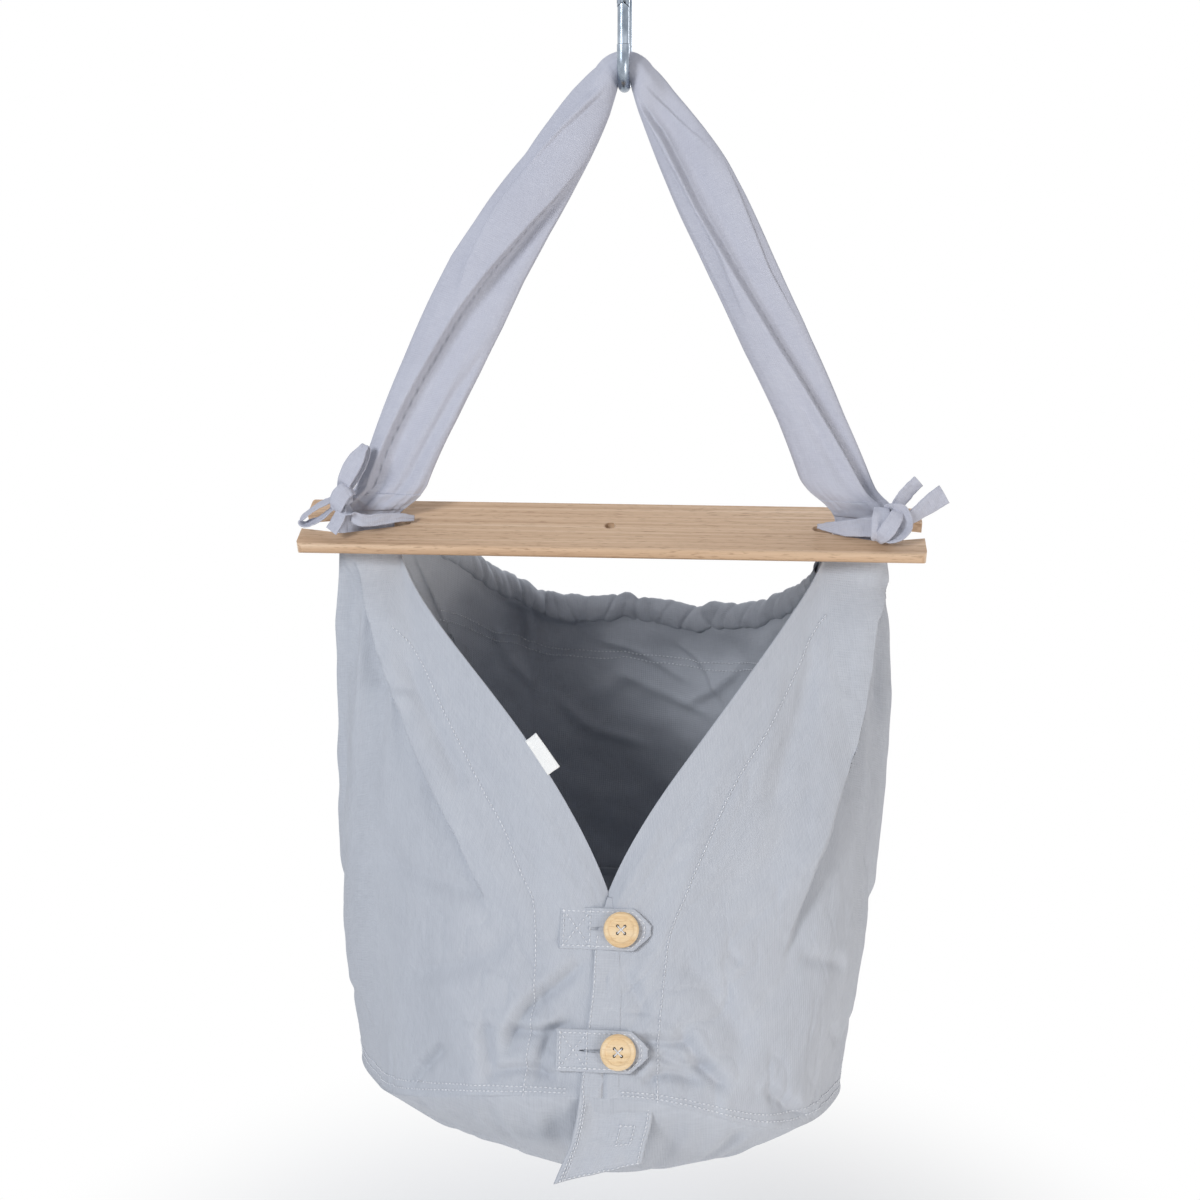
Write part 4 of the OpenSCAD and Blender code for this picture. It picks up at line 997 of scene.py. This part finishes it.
def tab(name, at, seed):
    """A pointed tab with a buttonhole slit, sewn down at its left end."""
    x = np.unique(np.concatenate([np.linspace(0, TAB_LEN, 60), [TAB_LEN - 14, TAB_LEN - 4]]))
    half = np.interp(x, [0, TAB_LEN - 14, TAB_LEN - 4, TAB_LEN], [TAB_W / 2, TAB_W / 2, TAB_W / 2 - 9, 3.0])
    half = half * (1 - 0.012 * noise(x / 14, 0.5, seed))
    xx = x + TAB_LEFT
    slit = 1.3 * np.sqrt(np.clip(1 - ((xx - (BUTTON_X - 13)) / 19) ** 2, 0, 1))
    v = np.linspace(0, 1, 13)
    rows, uvs = [], []
    for sign in (-1, 1):
        y = sign * (slit[:, None] + (half - slit)[:, None] * v)
        curl = 0.7 * noise(xx[:, None] / 15 + 7, y / 12, seed) + 0.5 * np.abs(v) ** 3
        o = CLOTH_TOP + TAB_T + curl * smooth((xx[:, None] - TAB_LEFT - 24) / 12) - tab_dip(xx[:, None])
        rows.append(on_front(xx[:, None], at + y, o))
        uvs.append(np.stack([xx[:, None] + 0 * y, y], -1))
    n, m = rows[0].shape[:2]
    pts = np.concatenate([r.reshape(-1, 3) for r in rows])
    uv = np.concatenate([u.reshape(-1, 2) for u in uvs])
    faces = []
    for b in (0, 1):
        faces += [tuple(r[::-1]) if b == 0 else tuple(r) for r in cells(n, m, b * n * m)]
    back = {int(n * m + i * m): int(i * m) for i in range(n) if slit[i] < 1e-6}
    faces = [tuple(back.get(int(i), int(i)) for i in f) for f in faces]
    v3 = world(pts)
    f0 = faces[0]
    if np.cross(v3[f0[2]] - v3[f0[0]], v3[f0[3]] - v3[f0[1]]) @ CLOSE_N < 0:
        faces = [f[::-1] for f in faces]
    loop_uv = np.array([uv[i] for f in faces for i in f]) * 0.001
    used = sorted({i for f in faces for i in f})
    new = {o: i for i, o in enumerate(used)}
    o = finish_mesh(name, v3[used], [tuple(new[i] for i in f) for f in faces], canvas, loop_uv, TAB_T)
    top = CLOTH_TOP + TAB_T + 0.55
    xl, xr, edge = TAB_LEFT + TAB_HEM, TAB_LEFT + TAB_LEN - TAB_HEM, TAB_W / 2 - TAB_HEM
    loop = [(xl, -edge), (xr - 11.5, -edge), (xr - 2, -5), (xr - 2, 5), (xr - 11.5, edge), (xl, edge),
            (xl, -edge)]
    box_low, box_high = (xl + TAB_BOX, -edge), (xl + TAB_BOX, edge)
    for line in (loop, [box_low, box_high], [(xl, -edge), box_high], [(xl, edge), box_low]):
        q = np.concatenate([np.linspace(a, b, max(3, int(np.hypot(*np.subtract(b, a)) / 2)))
                            for a, b in zip(line[:-1], line[1:])])
        stitch_paths.append(on_front(q[:, 0], at + q[:, 1], top - tab_dip(q[:, 0])))
    return o


TAB_SEED = {"upper": 711, "lower": 712}
for word, at in BUTTONS:
    pieces[word + "_button_tab"] = tab(word + "_button_tab", at, TAB_SEED[word])


# Bare white tape sewn into the left neckline between these places along it
TAG_FROM, TAG_TO, TAG_LONG, TAG_WIDE = 0.285, 0.385, 35, 11


def label():
    a, b = (lean(top_front(w) * (-1, 1, 1)) for w in (TAG_FROM, TAG_TO))
    u = (b - a) / np.linalg.norm(b - a)
    v = np.array([u[2], 0, -u[0]])
    v /= np.linalg.norm(v)
    n = np.cross(u, v)
    i, j = np.linspace(0, 1, 20)[:, None], np.linspace(-0.12, 1, 14)[None, :]
    curl = 1.6 * j ** 2 * np.cos(i * 2.2) + 0.4 * noise(i * 3, j * 2, 721)
    p = a + u * TAG_LONG * i[..., None] + v * TAG_WIDE * j[..., None] + n * curl[..., None]
    p = p + (0, 0, 0.2)
    return grid_piece("label_tag", p, n, tape, TAPE_T)


pieces["label_tag"] = label()


# Ties: ribbons round the foot of each strap leg, knotted on its outer front
TIE_S = (0.874, 0.912)
RIBBON_CUP = 0.08
KNOT_R = {-1: 8.6, 1: 11.2}


def ribbon(name, path, across, width, n, seed):
    """A ribbon of cloth along a smooth path; across gives its width's direction at each point."""
    c = spline(path, n)
    place = np.linspace(0, len(across) - 1, n)
    w = unit(np.stack([np.interp(place, np.arange(len(across)), k) for k in np.transpose(across)], -1))
    t = unit(np.gradient(c, axis=0))
    w = unit(w - (w * t).sum(-1, keepdims=True) * t)
    up = np.cross(t, w)
    v = np.linspace(-1, 1, 13)[None, :]
    wide = (np.interp(np.linspace(0, 1, n), np.linspace(0, 1, len(width)), width) / 2)[:, None]
    i = np.arange(n)[:, None]
    bend = RIBBON_CUP * wide * (v ** 2 - 0.4) + 0.5 * noise(i / 7, v * 1.6 + 5, seed) \
        + 0.25 * noise(i / 3, v * 3 + 5, seed + 1)
    p = c[:, None] + w[:, None] * (wide * v)[..., None] + up[:, None] * bend[..., None]
    return grid_piece(name, p, np.broadcast_to(up[:, None], p.shape), strap_cloth, RIBBON_T)


def tie_band(name, side):
    a = np.linspace(0, 360, 121)[:-1][None, :]
    v = np.linspace(-0.5, 0.5, 15)[:, None]
    s = lerp(TIE_S[0], TIE_S[1], v + 0.5)
    puff = 0.6 + 1.0 * (1 - (2 * v) ** 2) + 0.5 * noise(a / 14, v * 3 + 4, 731) \
        + 0.4 * noise(a / 30, v * 5, 732)
    p = leg_section(s, a, side, puff)
    return grid_piece(name, p, p - p.mean((0, 1)), strap_cloth, BAND_T, wrap=True)


def knot_core(name, side):
    """The tight middle of a knot: a lump of ribbon drawn in by the strands that go round it."""
    u = np.linspace(0, 180, 40)[:, None]
    a = np.linspace(0, 360, 61)[:-1][None, :]
    waist = np.exp(-((u - 90 + 20 * cosd(a)) / 9) ** 2)
    r = KNOT_R[side] * (1 + 0.09 * cosd(3 * u + a) + 0.08 * cosd(2 * a - 4 * u + 60) - 0.16 * waist)
    q = np.stack([r * sind(u) * cosd(a), r * sind(u) * sind(a), r * cosd(u) + 0 * a], -1)
    tilt = math.radians(70 * side)
    x = q[..., 0] * math.cos(tilt) + q[..., 2] * math.sin(tilt)
    z = -q[..., 0] * math.sin(tilt) + q[..., 2] * math.cos(tilt)
    p = np.stack([x, q[..., 1], z], -1) + KNOT[side]
    return grid_piece(name, p, p - KNOT[side], strap_cloth, BAND_T, wrap=True)


# Each strand of ribbon: its points from the knot's middle, its width's direction at each, and its widths.
# x points outwards, away from the other leg.
STRANDS = {
    1: {
        "right_tie_foot": ([(-59, 19, -9), (-48, 12, -8), (-34, 5, -7), (-20, 0, -5), (-9, -5, -3),
                            (-4, -7, -1)],
                           [(.1, .3, 1), (.1, .2, 1), (.05, .1, 1), (0, 0, 1), (.1, 0, 1), (.1, .1, 1)],
                           [3, 9, 14, 16, 17, 14]),
        "right_tie_turn": ([(-7, -2, 13), (-7, -9, 11), (-8, -13, 3), (-8, -13, -6), (-7, -9, -13),
                            (-4, -2, -15)],
                           [(1, .1, .1), (1, .1, .1), (1, 0, .15), (1, 0, .15), (1, 0, .1), (1, .1, 0)],
                           [12, 14, 15, 15, 14, 11]),
        "right_tie_ring": ([(-3, -4, 11), (3, -8, 13), (9, -9, 12), (13, -9, 5), (13, -10, -3), (8, -11, -8),
                            (0, -10, -10.5), (-6, -5, -10)],
                           [(-.3, -.5, 1), (-.1, -.6, 1), (.5, -.5, .8), (1, -.5, .1), (.9, -.6, -.5),
                            (.4, -.6, -1), (0, -.6, -1), (-.3, -.5, -1)],
                           [9, 11, 12, 12, 12, 12, 10, 8]),
        "right_tie_front": ([(-9, -6, -15), (-6, -12, -10), (-1, -15, -2), (4, -13, 6), (8, -6, 13)],
                            [(.85, -.1, -.45)] * 5, [8, 12, 14, 12, 8]),
        "right_tie_tail_up": ([(3, -1, 8), (6, -2, 14), (10, -1, 20), (16, 2, 27), (24, 4, 35)],
                              [(.8, .35, -.5)] * 2 + [(.75, .4, -.5)] * 3, [8, 12, 13, 13, 12]),
        "right_tie_tail_out": ([(7, -3, 2), (15, -4, 3), (24, -2, 9), (34, 1, 16), (46, 4, 24)],
                               [(.2, .45, -.8), (.25, .4, -.85), (.3, .3, -.88), (.35, .2, -.9),
                                (.38, .1, -.9)],
                               [10, 14, 16, 18, 18]),
    },
    -1: {
        "left_tie_foot": ([(-2, -4, -8), (-9, -6, -16), (-20, -3, -20), (-34, 5, -20), (-47, 13, -20),
                           (-58, 20, -22)],
                          [(.8, -.2, .5), (.7, -.2, .7), (.3, -.2, 1), (0, 0, 1), (0, .2, 1), (.1, .3, 1)],
                          [9, 11, 11, 10, 8, 4]),
        "left_tie_wrap": ([(-8, -1, 7), (-5, -8, 8), (0, -11, 3), (4, -10, -5), (6, -4, -11)],
                          [(.7, .1, .7)] * 5, [12, 14, 15, 14, 11]),
        "left_tie_loop": ([(0, -4, 6), (-3, -6, 15), (-8, -5, 25), (-14, -3, 35), (-19, 0, 43), (-21, 3, 45),
                           (-21, 6, 41), (-17, 6, 32), (-10, 5, 21), (-4, 3, 8)],
                          [(.88, .2, .43)] * 10, [10, 13, 15, 14, 8, 5, 9, 14, 14, 9]),
        "left_tie_open_loop": ([(5, 0, -2), (13, 1, -4), (24, 3, -10), (34, 5, -17), (39, 5, -22),
                                (36, 4, -25), (28, 3, -23), (19, 2, -18), (10, 0, -10), (4, 0, -4)],
                               [(.15, .95, .25)] * 10, [9, 11, 12, 12, 12, 12, 12, 12, 10, 8]),
        "left_tie_end": ([(0, -5, -6), (1, -8, -13), (4, -10, -20), (9, -11, -28)],
                         [(.85, .4, .3)] * 4, [8, 11, 12, 12]),
    },
}
RIBBON_SEED = 741
for side, word in SIDES:
    pieces[word + "_tie_band"] = tie_band(word + "_tie_band", side)
    pieces[word + "_tie_knot"] = knot_core(word + "_tie_knot", side)
    flip = np.array([side, 1, 1])
    for i, (name, (path, across, width)) in enumerate(STRANDS[side].items()):
        steps, seed = 24 + 8 * len(path), RIBBON_SEED + 2 * i
        pieces[name] = ribbon(name, KNOT[side] + flip * path, flip * across, width, steps, seed)


# Thread of each button: two strands that cross between its four holes, and the shank behind it, as points and
# a radius. Each strand is a tube of a few sides.
THREAD_RUNS = (([(-3, -3, -3), (-2.7, -2.7, 0.2), (0, 0, 0.9), (2.7, 2.7, 0.2), (3, 3, -3)], 0.55),
               ([(-3, 3, -3), (-2.7, 2.7, 0.2), (0, 0, 0.4), (2.7, -2.7, 0.2), (3, -3, -3)], 0.55),
               ([(0, 0, -4), (0, 0, -5.5), (0, 0, -7)], 1.1))
TUBE_STEPS, TUBE_SIDES = 24, 8


def outward(o):
    """Turns a closed mesh's faces outwards."""
    bm = bmesh.new()
    bm.from_mesh(o.data)
    bmesh.ops.recalc_face_normals(bm, faces=bm.faces)
    bm.to_mesh(o.data)
    bm.free()
    return o


def thread_cross(name, button, at):
    out = np.array([from_bar(button.matrix_world @ v.co) for v in button.data.vertices]) - CLOSE_A
    floor = (out @ CLOSE_N).max() - 1.0
    v, faces = [], []
    for path, radius in THREAD_RUNS:
        c = spline(path, TUBE_STEPS)
        t = unit(np.gradient(c, axis=0))
        side = unit(np.cross(t, (0.3, 0.9, 0.1)))
        a = np.linspace(0, 2 * np.pi, TUBE_SIDES + 1)[:-1][None, :, None]
        ring = c[:, None] + radius * (side[:, None] * np.cos(a) + np.cross(t, side)[:, None] * np.sin(a))
        first, last = len(v), len(v) + (TUBE_STEPS - 1) * TUBE_SIDES
        faces += [tuple(q) for q in cells(TUBE_STEPS, TUBE_SIDES, first, wrap=True)[:, BACKWARDS]]
        faces += [tuple(range(first, first + TUBE_SIDES))[::-1], tuple(range(last, last + TUBE_SIDES))]
        v += list(on_front(BUTTON_X + ring[..., 0], at + ring[..., 1], floor + ring[..., 2]).reshape(-1, 3))
    return outward(finish_mesh(name, world(np.array(v)), faces, thread))


for word, at in BUTTONS:
    button = frame["nodes"][word + "_button"]
    pieces[word + "_button_thread"] = thread_cross(word + "_button_cross", button, at)


# Stitches: their pitch, length and width
STITCH_SIZES = {"Pitch": 4.0, "Stitch length": 2.9, "Thread width": 1.05}


def stitch_tree():
    """Rows of stitches along a mesh's edges."""
    tree = bpy.data.node_groups.new("rows of stitches", "GeometryNodeTree")
    sockets = {"Geometry": "Geometry", **dict.fromkeys(STITCH_SIZES, "Float"), "Thread": "Material"}
    ids = {name: tree.interface.new_socket(name, in_out="INPUT", socket_type="NodeSocket" + kind).identifier
           for name, kind in sockets.items()}
    tree.interface.new_socket("Geometry", in_out="OUTPUT", socket_type="NodeSocketGeometry")
    given = add(tree, "NodeGroupInput").outputs
    line = add(tree, "GeometryNodeMeshToCurve", {"Mesh": given["Geometry"]})
    spots = add(tree, "GeometryNodeCurveToPoints", {"Curve": line, "Length": given["Pitch"]}, mode="LENGTH")
    ball = add(tree, "GeometryNodeMeshUVSphere", {"Segments": 6, "Rings": 4, "Radius": 0.5})
    wide = given["Thread width"]
    size = add(tree, "ShaderNodeCombineXYZ", {0: given["Stitch length"], 1: wide, 2: wide})
    shape = add(tree, "GeometryNodeTransform", {"Geometry": ball, "Scale": size})
    turn = add(tree, "FunctionNodeAlignRotationToVector", {"Vector": spots.outputs["Tangent"]}, axis="X")
    rows = add(tree, "GeometryNodeInstanceOnPoints", {"Points": spots, "Instance": shape, "Rotation": turn})
    real = add(tree, "GeometryNodeRealizeInstances", {"Geometry": rows})
    done = add(tree, "GeometryNodeSetMaterial", {"Geometry": real, "Material": given["Thread"]})
    add(tree, "NodeGroupOutput", {"Geometry": done})
    return tree, ids


def sew(name, paths, mat):
    v = np.concatenate(paths)
    edges, at = [], 0
    for q in paths:
        edges += [(at + i, at + i + 1) for i in range(len(q) - 1)]
        at += len(q)
    me = bpy.data.meshes.new(name)
    me.from_pydata([tuple(x) for x in world(v)], edges, [])
    guide = bpy.data.objects.new(name + "_guide", me)
    scene.collection.objects.link(guide)
    tree, ids = stitch_tree()
    mod = guide.modifiers.new("stitches", "NODES")
    mod.node_group = tree
    for key, size in STITCH_SIZES.items():
        mod[ids[key]] = size * 0.001
    mod[ids["Thread"]] = mat
    made = bpy.data.meshes.new_from_object(guide.evaluated_get(bpy.context.evaluated_depsgraph_get()))
    bpy.data.objects.remove(guide)
    made.shade_smooth()
    o = bpy.data.objects.new(name, made)
    scene.collection.objects.link(o)
    return o


# The double row above the bottom seam, all round, the rows below the back rim, on both faces of the cloth,
# and the flap's own rows
SEAM_ROWS, SEAM_START = (0.968, 0.984), {-1: 4.5, 1: 2}
RIM_ROWS, RIM_ROW_START = (0.135, 0.16), 128
for t in SEAM_ROWS:
    for d in (-1, 1):
        f = np.linspace(SEAM_START[d], F_BACK, 500)
        stitch_paths.append(on_wall(d, f, np.full_like(f, t), STITCH_UP))
    f = np.linspace(F_BACK, 360 - F_BACK, 500)
    stitch_paths.append(on_wall("back", f, np.full_like(f, t), STITCH_UP))
for t in RIM_ROWS:
    f = np.linspace(RIM_ROW_START, 360 - RIM_ROW_START, 400)
    stitch_paths += [on_wall("back", f, np.full_like(f, t), lift)
                     for lift in (STITCH_UP, -CANVAS_T - STITCH_UP)]
flap_n = unit(np.cross(np.gradient(flap_p, axis=0), np.gradient(flap_p, axis=1)))
flap_n = flap_n if flap_n[..., 1].sum() < 0 else -flap_n
flap_top = flap_p + STITCH_UP * flap_n
# By rows and columns of the flap's grid: down its left edge, a second row on the free end, along the end and
# up the right edge, and then a small square
stitch_paths += [flap_top[14:108, 2], flap_top[72:108, 3], flap_top[107, 2:32], flap_top[70:107, 31]]
tack = [flap_top[82, 20:27], flap_top[82:95, 26], flap_top[94, 20:27][::-1], flap_top[82:95, 20][::-1]]
stitch_paths.append(np.concatenate(tack))
pieces["stitches"] = sew("stitches", stitch_paths, thread)

# Materials of the parts that keep their solid
LOOKS = {"hook_body": zinc, "hook_gate": zinc, "gate_rivet": zinc, "gate_spring": spring,
         "spreader_bar": beech, "upper_button": button_wood, "lower_button": button_wood}
for name, mat in LOOKS.items():
    slots = frame["nodes"][name].data.materials
    slots.clear()
    slots.append(mat)

# Nodes that a piece stands for, where they aren't the one of its own name
REPLACES = {
    "left_wrap": ("front_left_panel", "left_side_panel"),
    "right_wrap": ("front_right_panel", "right_side_panel"),
    "back_wall": ("back_panel",), "bottom_bowl": ("bottom_panel",), "back_rim": ("rim_casing", "rim_elastic"),
    "hanging_strap": ("strap_crown", "left_strap", "right_strap"),
    "left_tie_loop": ("left_tie_bow",), "right_tie_tail_up": ("right_tie_tails",),
}
for name, o in pieces.items():
    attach(o, "sling")
    own = (name,) if name in frame["nodes"] else ()
    if name in REPLACES or own:
        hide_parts(*REPLACES.get(name, own))
